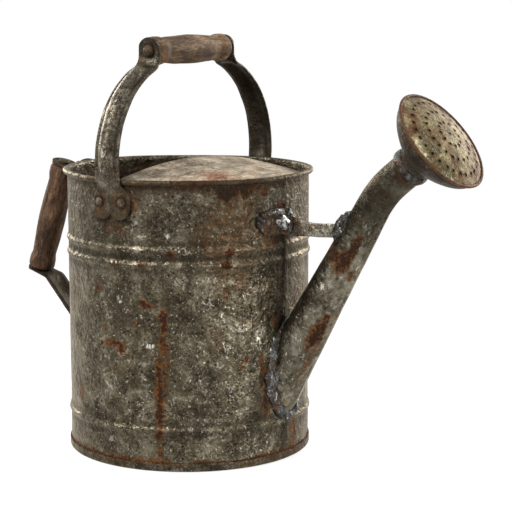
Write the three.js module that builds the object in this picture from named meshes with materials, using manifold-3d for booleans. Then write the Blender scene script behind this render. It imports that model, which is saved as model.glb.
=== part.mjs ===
// An old galvanised watering can: rolled body with a wired rim, riveted bail and rear handle with wooden grips,
// tapered spout with a brace, and a domed rose. Millimetres, +Z up, +X toward the spout, +Y along the bail's
// grip, origin at the middle of the flat underside.
import * as THREE from 'three';
import { mergeVertices } from 'three/addons/utils/BufferGeometryUtils.js';
import Module from 'manifold-3d';

const wasm = await Module();
wasm.setup();

// Sheet, fits and facets
const SHEET = 0.9;
const CLEARANCE = 0.3;
const RUNNING_GAP = 0.4;
const BODY_SIDES = 36;
const TUBE_SIDES = 16;
const GRIP_SIDES = 14;
const ROSE_SIDES = 20;
const SMALL_SIDES = 8;
const RIVET_SIDES = 6;
const CURVE_STEPS = 4;
const MERGE_DISTANCE = 1e-4;
const SEARCH_STEPS = 40;

// Body, with its rolled rim, swages and side seam
const CAN_RADIUS = 110;
const CAN_HEIGHT = 256;
const WIRE_RADIUS = 1.3;
const WIRE_SIDES = 5;
const CURL_TURN = 280;
const CURL_STEPS = 6;
const SWAGE_PROUD = 1.5;
const SWAGE_HEIGHT = 9;
const FIRST_SWAGE_DROP = 61.5;
const SECOND_SWAGE_DROP = 74.5;
const LOW_SWAGE_HEIGHT = 36;
const SEAM_WIDTH = 6;
const SEAM_PROUD = 0.8;
const SEAM_ANGLE = -2.6;

// Bottom
const SKIRT_HEIGHT = 8;
const BOTTOM_CORNER = 0.6;

// Splash cover
const COVER_EDGE = 3;
const COVER_SINK = 3;
const COVER_ARCH = 12;
const COVER_FALL = 0.147;
const COVER_LIP = 6;
const COVER_HEM = 1.6;
const COVER_SWEEP = 83;
const COVER_STEPS = 18;

// Channel straps, their feet and tabs
const STRAP_WIDTH = 26;
const STRAP_THICKNESS = 2.2;
const STRAP_DOME = 5.5;
const STRAP_DOME_SHARE = 0.74;
const REAR_STRAP_DOME = 3;
const TAB_RADIUS = 12;
const TAB_FLAT = 0.9;
const TAB_APPROACH = 1.5;
const STRAP_BEND = 6.6;
const FLAT_FOOT_POINTS = 1;
const FLAT_TAB_POINTS = 2;
const FADE_POINTS = 3;
const FOOT_WIDTH = 40;
const FOOT_NOTCH = 35;
const FOOT_DROP = 36;
const FOOT_HEIGHT = 29;

// Rivets
const RIVET_RADIUS = 2;
const RIVET_HEAD_RADIUS = 4.2;
const RIVET_HEAD_HEIGHT = 2.4;
const RIVET_CLINCH_RADIUS = 3.4;
const RIVET_CLINCH_HEIGHT = 1.4;
const RIVET_SPACING = 24;
const RIVET_DROP = 21;
const HEAD_CROWN_SHARE = 0.8;
const HEAD_SHOULDER_SHARE = 0.72;

// Wooden grips and their rods
const GRIP_LENGTH = 107;
const GRIP_BELLY_RADIUS = 13;
const GRIP_NECK_RADIUS = 11.2;
const GRIP_KNOB_RADIUS = 12.6;
const GRIP_KNOB_LENGTH = 15;
const GRIP_BELLY_SHARE = 0.62;
const ROD_RADIUS = 3;
const ROD_HEAD_RADIUS = 5.4;
const ROD_HEAD_HEIGHT = 3.2;

// Bail
const BAIL_RISE = 106.5;
const BAIL_SHOULDER = 11;
const BAIL_BEND = 8;
const BAIL_END_SLOPE = 20;
const BAIL_SWEEP = 72;
const BAIL_STEPS = 6;
const BAIL_BEND_STEPS = 3;

// Rear handle
const REAR_REACH = 56;
const REAR_DROP = 59;
const REAR_TILT = 17.4;
const REAR_LOWER_DROP = 64;
const REAR_PATH_STEPS = 9;

// Spout
const SPOUT_FOOT_HEIGHT = 84.6;
const SPOUT_FOOT_RADIUS = 21.6;
const SPOUT_SLOPE = 59.8;
const SPOUT_TIP_RISE = 19;
const SPOUT_BEND_RADIUS = 95;
const SPOUT_BEND_STEPS = 4;
const SPOUT_SEAM_PROUD = 0.8;
const NECK_RADIUS = 15;
const NECK_LENGTH = 25.8;
const NECK_SLOPE = 39.1;
const WELD_RADIUS = 5.2;
const WELD_STEPS = 18;
const WELD_SIDES = 6;
const WELD_LUMP = 0.12;
const WELD_WAVES = [7, 11];

// Brace between the body and the spout
const BRACE_DROP = 46;
const BRACE_THICKNESS = 3;
const BRACE_ROOT_WIDTH = 18;
const BRACE_TIP_WIDTH = 12;
const BRACE_FOOT_LENGTH = 38;
const BRACE_WELD_LENGTH = 30;
const BRACE_WELD_WIDTH = 12;
const BRACE_WELD_OVERLAP = 1.44;
const SEAM_STOP = 1.6;

// Rose
const ROSE_RADIUS = 47.6;
const ROSE_DEPTH = 28.4;
const ROSE_BULGE = 17;
const ROSE_RIM = 2.8;
const ROSE_SEAT_SHARE = 0.6;
const ROSE_STEPS = 4;
const SLEEVE_LENGTH = 6;
const FACE_RISE = 10;
const FACE_RINGS = 3;
const HOLE_RADIUS = 0.9;
const HOLE_SIDES = 4;
const HOLE_RING_COUNT = 3;
const HOLE_RING_SHARE = 0.265;
const FIRST_RING_HOLES = 12;
const MORE_HOLES_PER_RING = 8;
const NECK_WELD_LENGTH = 7;
const NECK_WELD_HEIGHT = 2;
const NECK_WELD_TOE = 0.15;

// Finishes
const ZINC = { color: 0x6d675b, roughness: 0.62, metalness: 0.75 };
const WORN_ZINC = { color: 0x8a8171, roughness: 0.7, metalness: 0.55 };
const STEEL = { color: 0x4b4238, roughness: 0.6, metalness: 0.8 };
const WELD_METAL = { color: 0x4d565c, roughness: 0.55, metalness: 0.8 };
const OLD_WOOD = { color: 0x5d4736, roughness: 0.9, metalness: 0 };
const ROSE_METAL = { color: 0x77704f, roughness: 0.65, metalness: 0.7 };

// Sizes that follow from those above
const { degToRad: radians, radToDeg: degrees, smoothstep, lerp, clamp } = THREE.MathUtils;
const CURL_HOLLOW = WIRE_RADIUS + CLEARANCE;
const CURL_RADIUS = CURL_HOLLOW + SHEET;
const CURL_CENTRE = CAN_RADIUS + CURL_HOLLOW;
const BEAD_RADIUS = CURL_CENTRE + CURL_RADIUS;
const INNER_RADIUS = CAN_RADIUS - SHEET;
const SEAT_RADIUS = CAN_RADIUS + CLEARANCE;
const FACET_SHARE = Math.cos(Math.PI / BODY_SIDES);
const SWAGE_HEIGHTS = [LOW_SWAGE_HEIGHT, CAN_HEIGHT - SECOND_SWAGE_DROP, CAN_HEIGHT - FIRST_SWAGE_DROP];
const GRIP_HEIGHT = CAN_HEIGHT + BAIL_RISE;
const GRIP_END = GRIP_LENGTH / 2 + RUNNING_GAP;
const BRACE_HEIGHT = CAN_HEIGHT - BRACE_DROP;

// Solids: three.js geometry to a closed solid and back
function solidFrom(geometry) {
  geometry.deleteAttribute('normal');
  geometry.deleteAttribute('uv');
  const merged = mergeVertices(geometry, MERGE_DISTANCE);
  const points = merged.getAttribute('position');
  const corners = merged.index.array;
  const triangles = [];
  const [a, b, c] = [new THREE.Vector3(), new THREE.Vector3(), new THREE.Vector3()];
  let volume = 0;
  for (let i = 0; i < corners.length; i += 3) {
    const [p, q, r] = corners.slice(i, i + 3);
    if (p !== q && q !== r && r !== p) {
      triangles.push([p, q, r]);
      a.fromBufferAttribute(points, p);
      b.fromBufferAttribute(points, q);
      c.fromBufferAttribute(points, r);
      volume += a.dot(b.cross(c));
    }
  }
  const outward = volume > 0 ? triangles : triangles.map(([p, q, r]) => [p, r, q]);
  const mesh = new wasm.Mesh({
    numProp: 3,
    vertProperties: Float32Array.from(points.array),
    triVerts: Uint32Array.from(outward.flat()),
  });
  return new wasm.Manifold(mesh);
}

function geometryFrom(solid) {
  const mesh = solid.getMesh();
  const geometry = new THREE.BufferGeometry();
  geometry.setAttribute('position', new THREE.BufferAttribute(mesh.vertProperties, 3));
  geometry.setIndex(new THREE.BufferAttribute(mesh.triVerts, 1));
  geometry.computeVertexNormals();
  return geometry;
}

// A closed profile of [radius, height] points turned about Z
function revolved(profile, sides) {
  const points = [...profile, profile[0]].map(([radius, height]) => new THREE.Vector2(radius, height));
  return new THREE.LatheGeometry(points, sides).rotateX(Math.PI / 2);
}

// Rings of points joined side by side: either the last ring meets the first, or both ends are capped. A capped
// ring lists one face's points and then the other face's points backward.
function lofted(rings, endless) {
  const count = rings[0].length;
  const half = count / 2;
  const index = [];
  const spans = endless ? rings.length : rings.length - 1;
  for (let i = 0; i < spans; i += 1) {
    const here = i * count;
    const there = ((i + 1) % rings.length) * count;
    for (let j = 0; j < count; j += 1) {
      const k = (j + 1) % count;
      index.push(here + j, here + k, there + k, here + j, there + k, there + j);
    }
  }
  const last = (rings.length - 1) * count;
  for (let j = 0; j < half - 1 && !endless; j += 1) {
    const [near, nearNext, far, farNext] = [j, j + 1, count - 1 - j, count - 2 - j];
    index.push(nearNext, near, far, nearNext, far, farNext);
    index.push(last + near, last + nearNext, last + farNext, last + near, last + farNext, last + far);
  }
  const geometry = new THREE.BufferGeometry();
  const numbers = rings.flat().flatMap((point) => point.toArray());
  geometry.setAttribute('position', new THREE.Float32BufferAttribute(numbers, 3));
  geometry.setIndex(index);
  return geometry;
}

// An outline drawn in Y and Z, with its thickness along X
function plateAlongX(outline, start, depth) {
  const geometry = new THREE.ExtrudeGeometry(outline, { depth, bevelEnabled: false, curveSegments: CURVE_STEPS });
  const [x, y, z] = [new THREE.Vector3(1, 0, 0), new THREE.Vector3(0, 1, 0), new THREE.Vector3(0, 0, 1)];
  geometry.applyMatrix4(new THREE.Matrix4().makeBasis(y, z, x));
  return geometry.translate(start, 0, 0);
}

// A round bar along X, its facets outside the stated radius
function boreAlongX(radius, start, length, sides) {
  const outside = radius / Math.cos(Math.PI / sides);
  const geometry = new THREE.CylinderGeometry(outside, outside, length, sides);
  return geometry.rotateZ(Math.PI / 2).translate(start + length / 2, 0, 0);
}

// Turn of a solid about Z, in degrees
const turned = (solid, angle) => solid.rotate([0, 0, angle]);

// The body's wall, from the bottom pan to the rim, moved outward by the stated distance
function wallPoints(offset, from, to) {
  const points = [[CAN_RADIUS + offset, from]];
  for (const height of SWAGE_HEIGHTS) {
    points.push([CAN_RADIUS + offset, height - SWAGE_HEIGHT / 2]);
    points.push([CAN_RADIUS + offset + SWAGE_PROUD, height]);
    points.push([CAN_RADIUS + offset, height + SWAGE_HEIGHT / 2]);
  }
  points.push([CAN_RADIUS + offset, to]);
  return points;
}

// The rolled rim, as an arc of the stated radius about the wire
function curlPoints(radius) {
  const points = [];
  for (let i = 1; i <= CURL_STEPS; i += 1) {
    const angle = radians(180 - (CURL_TURN * i) / CURL_STEPS);
    const height = CAN_HEIGHT - CURL_RADIUS + radius * Math.sin(angle);
    points.push([CURL_CENTRE + radius * Math.cos(angle), height]);
  }
  return points;
}

// What stands off the body is cut back to this: the wall with its swages, grown by the clearance
const bodyCutter = solidFrom(revolved([
  [0, 0],
  ...wallPoints(CLEARANCE, 0, CAN_HEIGHT),
  [0, CAN_HEIGHT],
], BODY_SIDES));

// A ring that lies on the body's wall, for feet that are bent to it, grown on both faces by the stated distance
function wallRing(thickness, low, high, grow) {
  const inner = SEAT_RADIUS - grow;
  const outer = SEAT_RADIUS + thickness + grow;
  return solidFrom(revolved([
    [inner, low],
    [outer, low],
    [outer, high],
    [inner, high],
  ], BODY_SIDES));
}

// Spout's centre line: straight, an arc outward, and a straight neck
const slope = radians(SPOUT_SLOPE);
const neckSlope = radians(NECK_SLOPE);
const bendRise = SPOUT_BEND_RADIUS * (Math.cos(neckSlope) - Math.cos(slope));
const neckRise = NECK_LENGTH * Math.sin(neckSlope);
const straightRise = CAN_HEIGHT + SPOUT_TIP_RISE - SPOUT_FOOT_HEIGHT - bendRise - neckRise;
const spoutStraight = straightRise / Math.sin(slope);
const spoutBend = SPOUT_BEND_RADIUS * (slope - neckSlope);
const spoutLength = spoutStraight + spoutBend + NECK_LENGTH;

function spoutStation(distance) {
  const straight = Math.min(distance, spoutStraight);
  const bent = clamp(distance - spoutStraight, 0, spoutBend);
  const neck = Math.max(distance - spoutStraight - spoutBend, 0);
  const angle = slope - bent / SPOUT_BEND_RADIUS;
  const x = CAN_RADIUS + straight * Math.cos(slope)
    + SPOUT_BEND_RADIUS * (Math.sin(slope) - Math.sin(angle)) + neck * Math.cos(neckSlope);
  const z = SPOUT_FOOT_HEIGHT + straight * Math.sin(slope)
    + SPOUT_BEND_RADIUS * (Math.cos(angle) - Math.cos(slope)) + neck * Math.sin(neckSlope);
  const radius = SPOUT_FOOT_RADIUS + (NECK_RADIUS - SPOUT_FOOT_RADIUS) * (straight / spoutStraight);
  return { centre: new THREE.Vector3(x, 0, z), angle, radius };
}

// The station where the spout's centre line reaches a height
function spoutStationAt(height) {
  let [low, high] = [0, spoutLength];
  for (let i = 0; i < SEARCH_STEPS; i += 1) {
    const middle = (low + high) / 2;
    const below = spoutStation(middle).centre.z < height;
    low = below ? middle : low;
    high = below ? high : middle;
  }
  return spoutStation(low);
}

function spoutRing(distance, grow, seamProud) {
  const { centre, angle, radius } = spoutStation(distance);
  const up = new THREE.Vector3(-Math.sin(angle), 0, Math.cos(angle));
  const ring = [];
  for (let i = 0; i < TUBE_SIDES; i += 1) {
    const turn = (2 * Math.PI * i) / TUBE_SIDES;
    const reach = radius + grow + (i === TUBE_SIDES / 2 ? seamProud : 0);
    const point = centre.clone().addScaledVector(up, reach * Math.cos(turn));
    point.y += reach * Math.sin(turn);
    ring.push(point);
  }
  return ring;
}

function spoutDistances(from, to) {
  const distances = [from];
  for (let i = 0; i <= SPOUT_BEND_STEPS; i += 1) {
    distances.push(spoutStraight + (spoutBend * i) / SPOUT_BEND_STEPS);
  }
  return [...distances, to];
}

// The spout's outside, or its bore, as a solid core
const spoutRoot = -2 * SPOUT_FOOT_RADIUS;

function spoutCore(grow, seamProud) {
  const rings = spoutDistances(spoutRoot, spoutLength).map((distance) => spoutRing(distance, grow, seamProud));
  return solidFrom(lofted(rings, false));
}

const spoutClearance = spoutCore(CLEARANCE, SPOUT_SEAM_PROUD);

function makeSpoutTube() {
  const seamEnd = spoutStraight + spoutBend;
  const distances = spoutDistances(spoutRoot, spoutLength);
  const outer = distances.map((distance) => spoutRing(distance, 0, distance < seamEnd ? SPOUT_SEAM_PROUD : 0));
  const inner = distances.map((distance) => spoutRing(distance, -SHEET, 0));
  return solidFrom(lofted([...outer, ...inner.reverse()], true)).subtract(bodyCutter);
}

// Unevenness of a hand-laid weld round a full turn, about 1
function lumpAt(turn) {
  const swells = WELD_WAVES.map((waves) => WELD_LUMP * Math.sin(waves * turn + waves));
  return swells.reduce((sum, swell) => sum + swell, 1);
}

// The bead of weld round the spout's foot follows the line where the tube meets the wall
function spoutFootPoint(turn) {
  const direction = new THREE.Vector3(Math.cos(slope), 0, Math.sin(slope));
  const up = new THREE.Vector3(-Math.sin(slope), 0, Math.cos(slope));
  let [low, high] = [spoutRoot, 3 * SPOUT_FOOT_RADIUS];
  const point = new THREE.Vector3();
  for (let i = 0; i < SEARCH_STEPS; i += 1) {
    const distance = (low + high) / 2;
    const { radius } = spoutStation(distance);
    point.set(CAN_RADIUS, 0, SPOUT_FOOT_HEIGHT).addScaledVector(direction, distance);
    point.addScaledVector(up, radius * Math.cos(turn));
    point.y += radius * Math.sin(turn);
    const inside = Math.hypot(point.x, point.y) < CAN_RADIUS;
    low = inside ? distance : low;
    high = inside ? high : distance;
  }
  return point;
}

function makeSpoutWeld() {
  const rings = [];
  const step = (2 * Math.PI) / WELD_STEPS;
  for (let i = 0; i < WELD_STEPS; i += 1) {
    const turn = i * step;
    const centre = spoutFootPoint(turn);
    const along = spoutFootPoint(turn + step).sub(spoutFootPoint(turn - step)).normalize();
    const outward = new THREE.Vector3(centre.x, centre.y, 0).normalize();
    outward.addScaledVector(along, -outward.dot(along)).normalize();
    const across = new THREE.Vector3().crossVectors(along, outward);
    const lump = WELD_RADIUS * lumpAt(turn);
    const ring = [];
    for (let j = 0; j < WELD_SIDES; j += 1) {
      const angle = (2 * Math.PI * (j + 0.5)) / WELD_SIDES;
      const point = centre.clone().addScaledVector(outward, lump * Math.cos(angle));
      ring.push(point.addScaledVector(across, lump * Math.sin(angle)));
    }
    rings.push(ring);
  }
  return solidFrom(lofted(rings, true)).subtract(bodyCutter).subtract(spoutClearance);
}

// Rivets stand in pairs; each place is an angle about Z and a height
function rivetPlaces(heading, height) {
  const half = degrees(RIVET_SPACING / 2 / (SEAT_RADIUS + STRAP_THICKNESS));
  return [heading - half, heading + half].map((angle) => ({ angle, height }));
}

function rivetHole({ angle, height }) {
  const start = INNER_RADIUS - RIVET_HEAD_RADIUS;
  const length = 4 * RIVET_HEAD_RADIUS;
  const bore = boreAlongX(RIVET_RADIUS + CLEARANCE, start, length, RIVET_SIDES).translate(0, 0, height);
  return turned(solidFrom(bore), angle);
}

function rivetGeometry() {
  const seat = SEAT_RADIUS + STRAP_THICKNESS + CLEARANCE;
  const clinch = INNER_RADIUS * FACET_SHARE - CLEARANCE;
  const profile = [
    [0, clinch - RIVET_CLINCH_HEIGHT],
    [RIVET_CLINCH_RADIUS, clinch],
    [RIVET_RADIUS, clinch],
    [RIVET_RADIUS, seat],
    [RIVET_HEAD_RADIUS, seat],
    [RIVET_HEAD_RADIUS * HEAD_CROWN_SHARE, seat + RIVET_HEAD_HEIGHT * HEAD_SHOULDER_SHARE],
    [0, seat + RIVET_HEAD_HEIGHT],
  ];
  return geometryFrom(solidFrom(revolved(profile, RIVET_SIDES).rotateY(Math.PI / 2)));
}

// Heights of the rear handle's feet follow from its tilted grip
const tilt = radians(REAR_TILT);
const rearGripRadius = CAN_RADIUS + REAR_REACH;
const rearGripHeight = CAN_HEIGHT - REAR_DROP;
const rearLowerHeight = rearGripHeight - (GRIP_LENGTH / 2) * Math.cos(tilt) - REAR_LOWER_DROP;
const upperRivetHeight = CAN_HEIGHT - RIVET_DROP;
const lowerRivetHeight = rearLowerHeight - RIVET_DROP + FOOT_DROP - FOOT_HEIGHT;
const rivetReach = RIVET_HEAD_RADIUS + CLEARANCE;

const bailRivets = [...rivetPlaces(-90, upperRivetHeight), ...rivetPlaces(90, upperRivetHeight)];
const rearRivets = [...rivetPlaces(180, upperRivetHeight), ...rivetPlaces(180, lowerRivetHeight)];

// A strap's foot: as wide as the strap at the top, with two round lobes below, bent to the wall
function strapFoot(top) {
  const [half, neck] = [FOOT_WIDTH / 2, STRAP_WIDTH / 2];
  const bottom = top - FOOT_HEIGHT;
  const notch = radians(FOOT_NOTCH);
  const lobe = half / (1 + Math.cos(notch));
  const lobeCentre = half - lobe;
  const lobeHeight = bottom + lobe;
  const shoulder = top - (half - neck);
  const outline = new THREE.Shape();
  outline.moveTo(-neck, top);
  outline.quadraticCurveTo(-neck, shoulder, -half, shoulder);
  outline.absarc(-lobeCentre, lobeHeight, lobe, Math.PI, 2 * Math.PI - notch);
  outline.absarc(lobeCentre, lobeHeight, lobe, Math.PI + notch, 2 * Math.PI);
  outline.lineTo(half, shoulder);
  outline.quadraticCurveTo(neck, shoulder, neck, top);
  const block = solidFrom(plateAlongX(outline, CAN_RADIUS / 2, CAN_RADIUS));
  return block.intersect(wallRing(STRAP_THICKNESS, bottom - lobe, top + lobe, 0));
}

// A channel strap swept along a path of [distance from the axis, height] points, flat at both ends
function channelStrap(path, dome) {
  const points = path.map(([distance, height]) => new THREE.Vector2(distance, height));
  const shares = [-1, -STRAP_DOME_SHARE, 0, STRAP_DOME_SHARE, 1];
  const last = points.length - 1;
  const rings = points.map((point, i) => {
    const along = points[Math.min(i + 1, last)].clone().sub(points[Math.max(i - 1, 0)]).normalize();
    const outward = new THREE.Vector2(along.y, -along.x);
    const fromFoot = smoothstep(i, FLAT_FOOT_POINTS, FLAT_FOOT_POINTS + FADE_POINTS);
    const fromTab = smoothstep(last - i, FLAT_TAB_POINTS, FLAT_TAB_POINTS + FADE_POINTS);
    const nearTab = smoothstep(i, last - FADE_POINTS, last);
    const half = lerp(STRAP_WIDTH / 2, TAB_RADIUS, nearTab);
    const strapPoint = (share, base) => {
      const crown = share === 0 ? dome * fromFoot * fromTab : 0;
      const spot = point.clone().addScaledVector(outward, base + crown);
      return new THREE.Vector3(spot.x, share * half, spot.y);
    };
    const inner = shares.map((share) => strapPoint(share, 0));
    const outer = shares.map((share) => strapPoint(share, STRAP_THICKNESS));
    return [...inner, ...outer.reverse()];
  });
  return solidFrom(lofted(rings, false));
}

// A round tab on a strap's end with a hole for the rod, about the X axis
function tabDisc(start) {
  const disc = new THREE.CylinderGeometry(TAB_RADIUS, TAB_RADIUS, STRAP_THICKNESS, TUBE_SIDES);
  return disc.rotateZ(Math.PI / 2).translate(start + STRAP_THICKNESS / 2, 0, 0);
}

const tabHole = (start) => boreAlongX(ROD_RADIUS + CLEARANCE, start - TAB_RADIUS, 2 * TAB_RADIUS, SMALL_SIDES);

// One leg of the bail, drawn toward +X: foot, step over the rim, elliptical sweep and a bend up to the tab
function makeBailLeg(heading, rivets) {
  const wall = BEAD_RADIUS + 2 * CLEARANCE;
  const shoulder = CAN_HEIGHT + BAIL_SHOULDER;
  const endSlope = radians(BAIL_END_SLOPE);
  const sweepEnd = radians(BAIL_SWEEP);
  const bendHeight = GRIP_HEIGHT - TAB_RADIUS + BAIL_BEND / 2;
  const endRadius = GRIP_END + BAIL_BEND * (1 - Math.sin(endSlope));
  const endHeight = bendHeight - BAIL_BEND * Math.cos(endSlope);
  const sweepWidth = (wall - endRadius) / (1 - Math.cos(sweepEnd));
  const sweepRise = (endHeight - shoulder) / Math.sin(sweepEnd);
  const path = [
    [SEAT_RADIUS, upperRivetHeight + rivetReach],
    [SEAT_RADIUS, CAN_HEIGHT - 4 * CURL_RADIUS],
    [wall, CAN_HEIGHT - 2 * CURL_RADIUS],
  ];
  for (let i = 0; i <= BAIL_STEPS; i += 1) {
    const angle = (sweepEnd * i) / BAIL_STEPS;
    path.push([wall - sweepWidth * (1 - Math.cos(angle)), shoulder + sweepRise * Math.sin(angle)]);
  }
  const bendCentre = GRIP_END + BAIL_BEND;
  for (let i = 1; i <= BAIL_BEND_STEPS; i += 1) {
    const angle = Math.PI + (Math.PI / 2 - endSlope) * (1 - i / BAIL_BEND_STEPS);
    path.push([bendCentre + BAIL_BEND * Math.cos(angle), bendHeight + BAIL_BEND * Math.sin(angle)]);
  }
  path.push([GRIP_END, GRIP_HEIGHT]);
  let leg = channelStrap(path, STRAP_DOME).add(strapFoot(CAN_HEIGHT - FOOT_DROP + FOOT_HEIGHT));
  leg = leg.add(solidFrom(tabDisc(GRIP_END).translate(0, 0, GRIP_HEIGHT)));
  leg = leg.subtract(solidFrom(tabHole(GRIP_END).translate(0, 0, GRIP_HEIGHT))).subtract(bodyCutter);
  return rivets.reduce((solid, spot) => solid.subtract(rivetHole(spot)), turned(leg, heading));
}

// A rear strap, drawn toward +X: the grip's axis leans toward the body at the top
function makeRearStrap(isUpper) {
  const axis = new THREE.Vector2(-Math.sin(tilt), Math.cos(tilt));
  const across = new THREE.Vector2(Math.cos(tilt), Math.sin(tilt));
  const face = isUpper ? GRIP_END + STRAP_THICKNESS : -GRIP_END;
  const tab = new THREE.Vector2(rearGripRadius, rearGripHeight).addScaledVector(axis, face);
  const tabPoint = (share) => tab.clone().addScaledVector(across, -share * TAB_RADIUS).toArray();
  const footTop = isUpper ? CAN_HEIGHT - FOOT_DROP + FOOT_HEIGHT : rearLowerHeight;
  const rivetHeight = isUpper ? upperRivetHeight : lowerRivetHeight;
  const passing = isUpper
    ? [[BEAD_RADIUS + 2 * CLEARANCE, CAN_HEIGHT - 2 * CURL_RADIUS], [BEAD_RADIUS + STRAP_BEND, CAN_HEIGHT]]
    : [[SEAT_RADIUS + STRAP_BEND, footTop + STRAP_BEND]];
  const corners = [
    [SEAT_RADIUS, rivetHeight + rivetReach],
    [SEAT_RADIUS, footTop - STRAP_BEND],
    ...passing,
    tabPoint(TAB_APPROACH),
    tabPoint(TAB_FLAT),
    tabPoint(0),
  ].map(([distance, height]) => new THREE.Vector3(distance, 0, height));
  const guide = new THREE.CatmullRomCurve3(corners, false, 'centripetal');
  const path = guide.getSpacedPoints(REAR_PATH_STEPS).map((point) => [point.x, point.z]);
  const onTab = (geometry) => solidFrom(geometry.rotateY(-Math.PI / 2 - tilt).translate(tab.x, 0, tab.y));
  let strap = channelStrap(path, isUpper ? -REAR_STRAP_DOME : REAR_STRAP_DOME).add(strapFoot(footTop));
  strap = strap.add(onTab(tabDisc(-STRAP_THICKNESS))).subtract(onTab(tabHole(0))).subtract(bodyCutter);
  const rivets = rearRivets.filter(({ height }) => height === rivetHeight);
  return rivets.reduce((solid, spot) => solid.subtract(rivetHole(spot)), turned(strap, 180));
}

// The brace is one strip: it stands on edge out to the spout, and its other end is bent along the wall
function braceStrip(grow) {
  const [root, tip] = [BRACE_ROOT_WIDTH / 2 + grow, BRACE_TIP_WIDTH / 2 + grow];
  const end = spoutStationAt(BRACE_HEIGHT).centre.x;
  const start = CAN_RADIUS - BRACE_THICKNESS;
  const middle = start + BRACE_ROOT_WIDTH;
  const side = new THREE.Shape();
  side.moveTo(start, BRACE_HEIGHT - root);
  side.quadraticCurveTo(middle, BRACE_HEIGHT - tip, end, BRACE_HEIGHT - tip);
  side.lineTo(end, BRACE_HEIGHT + tip);
  side.quadraticCurveTo(middle, BRACE_HEIGHT + tip, start, BRACE_HEIGHT + root);
  const depth = BRACE_THICKNESS + 2 * grow;
  const upright = new THREE.ExtrudeGeometry(side, { depth, bevelEnabled: false, curveSegments: CURVE_STEPS });
  upright.rotateX(Math.PI / 2).translate(0, depth / 2, 0);
  const foot = new THREE.Shape();
  const roundCentre = BRACE_ROOT_WIDTH / 2 - BRACE_FOOT_LENGTH;
  foot.moveTo(BRACE_THICKNESS / 2 + grow, BRACE_HEIGHT - root);
  foot.lineTo(BRACE_THICKNESS / 2 + grow, BRACE_HEIGHT + root);
  foot.absarc(roundCentre, BRACE_HEIGHT, root, Math.PI / 2, (3 * Math.PI) / 2);
  const block = solidFrom(plateAlongX(foot, CAN_RADIUS / 2, CAN_RADIUS));
  const ring = wallRing(BRACE_THICKNESS, BRACE_HEIGHT - 2 * root, BRACE_HEIGHT + 2 * root, grow);
  return solidFrom(upright).add(block.intersect(ring));
}

function weldBlob(reach, centre, slant) {
  const blob = new THREE.SphereGeometry(1, SMALL_SIDES, SMALL_SIDES - 2);
  return solidFrom(blob.scale(...reach).rotateY(slant).translate(...centre));
}

const makeBrace = () => braceStrip(0).subtract(bodyCutter).subtract(spoutClearance);

function makeBraceWeld(atSpout) {
  const { centre, radius } = spoutStationAt(BRACE_HEIGHT);
  const half = BRACE_WELD_WIDTH / 2;
  const touch = centre.x - radius / Math.sin(slope);
  const blob = atSpout
    ? weldBlob([half, half, BRACE_WELD_LENGTH / 2], [touch, 0, BRACE_HEIGHT], Math.PI / 2 - slope)
    : weldBlob([half, half, (BRACE_ROOT_WIDTH / 2) * BRACE_WELD_OVERLAP], [SEAT_RADIUS, 0, BRACE_HEIGHT], 0);
  return blob.subtract(bodyCutter).subtract(spoutClearance).subtract(braceStrip(CLEARANCE));
}

// Body: wall, swages and rolled rim in one profile, the side seam, the spout's mouth and the rivet holes
function makeBodyShell() {
  const base = SHEET + CLEARANCE;
  const curlHeight = CAN_HEIGHT - CURL_RADIUS;
  const profile = [
    ...wallPoints(0, base, curlHeight),
    ...curlPoints(CURL_HOLLOW),
    ...curlPoints(CURL_RADIUS).reverse(),
    ...wallPoints(-SHEET, base, curlHeight).reverse(),
  ];
  const seamTop = curlHeight - CURL_RADIUS;
  const seamBase = SKIRT_HEIGHT + CLEARANCE;
  const seamDepth = SEAM_PROUD + SHEET / 2;
  const strip = new THREE.BoxGeometry(seamDepth, SEAM_WIDTH, seamTop - seamBase);
  strip.translate(CAN_RADIUS + SEAM_PROUD - seamDepth / 2, 0, (seamTop + seamBase) / 2);
  const braceZone = new THREE.BoxGeometry(BRACE_ROOT_WIDTH, BRACE_FOOT_LENGTH, BRACE_ROOT_WIDTH * SEAM_STOP);
  braceZone.translate(CAN_RADIUS, 0, BRACE_HEIGHT);
  const spoutZone = spoutCore(WELD_RADIUS * SEAM_STOP, 0);
  const seam = turned(solidFrom(strip), SEAM_ANGLE).subtract(spoutZone).subtract(solidFrom(braceZone));
  const shell = solidFrom(revolved(profile, BODY_SIDES)).add(seam).subtract(spoutCore(-SHEET, 0));
  return [...bailRivets, ...rearRivets].reduce((solid, spot) => solid.subtract(rivetHole(spot)), shell);
}

function makeRimWire() {
  const profile = [];
  for (let i = 0; i < WIRE_SIDES; i += 1) {
    const angle = (2 * Math.PI * i) / WIRE_SIDES;
    const height = CAN_HEIGHT - CURL_RADIUS + WIRE_RADIUS * Math.sin(angle);
    profile.push([CURL_CENTRE + WIRE_RADIUS * Math.cos(angle), height]);
  }
  return solidFrom(revolved(profile, BODY_SIDES));
}

function makeBottomPan() {
  const outer = SEAT_RADIUS + SHEET;
  return solidFrom(revolved([
    [0, 0],
    [outer - BOTTOM_CORNER, 0],
    [outer, BOTTOM_CORNER],
    [outer, SKIRT_HEIGHT],
    [SEAT_RADIUS, SKIRT_HEIGHT],
    [SEAT_RADIUS, SHEET],
    [0, SHEET],
  ], BODY_SIDES));
}

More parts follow.
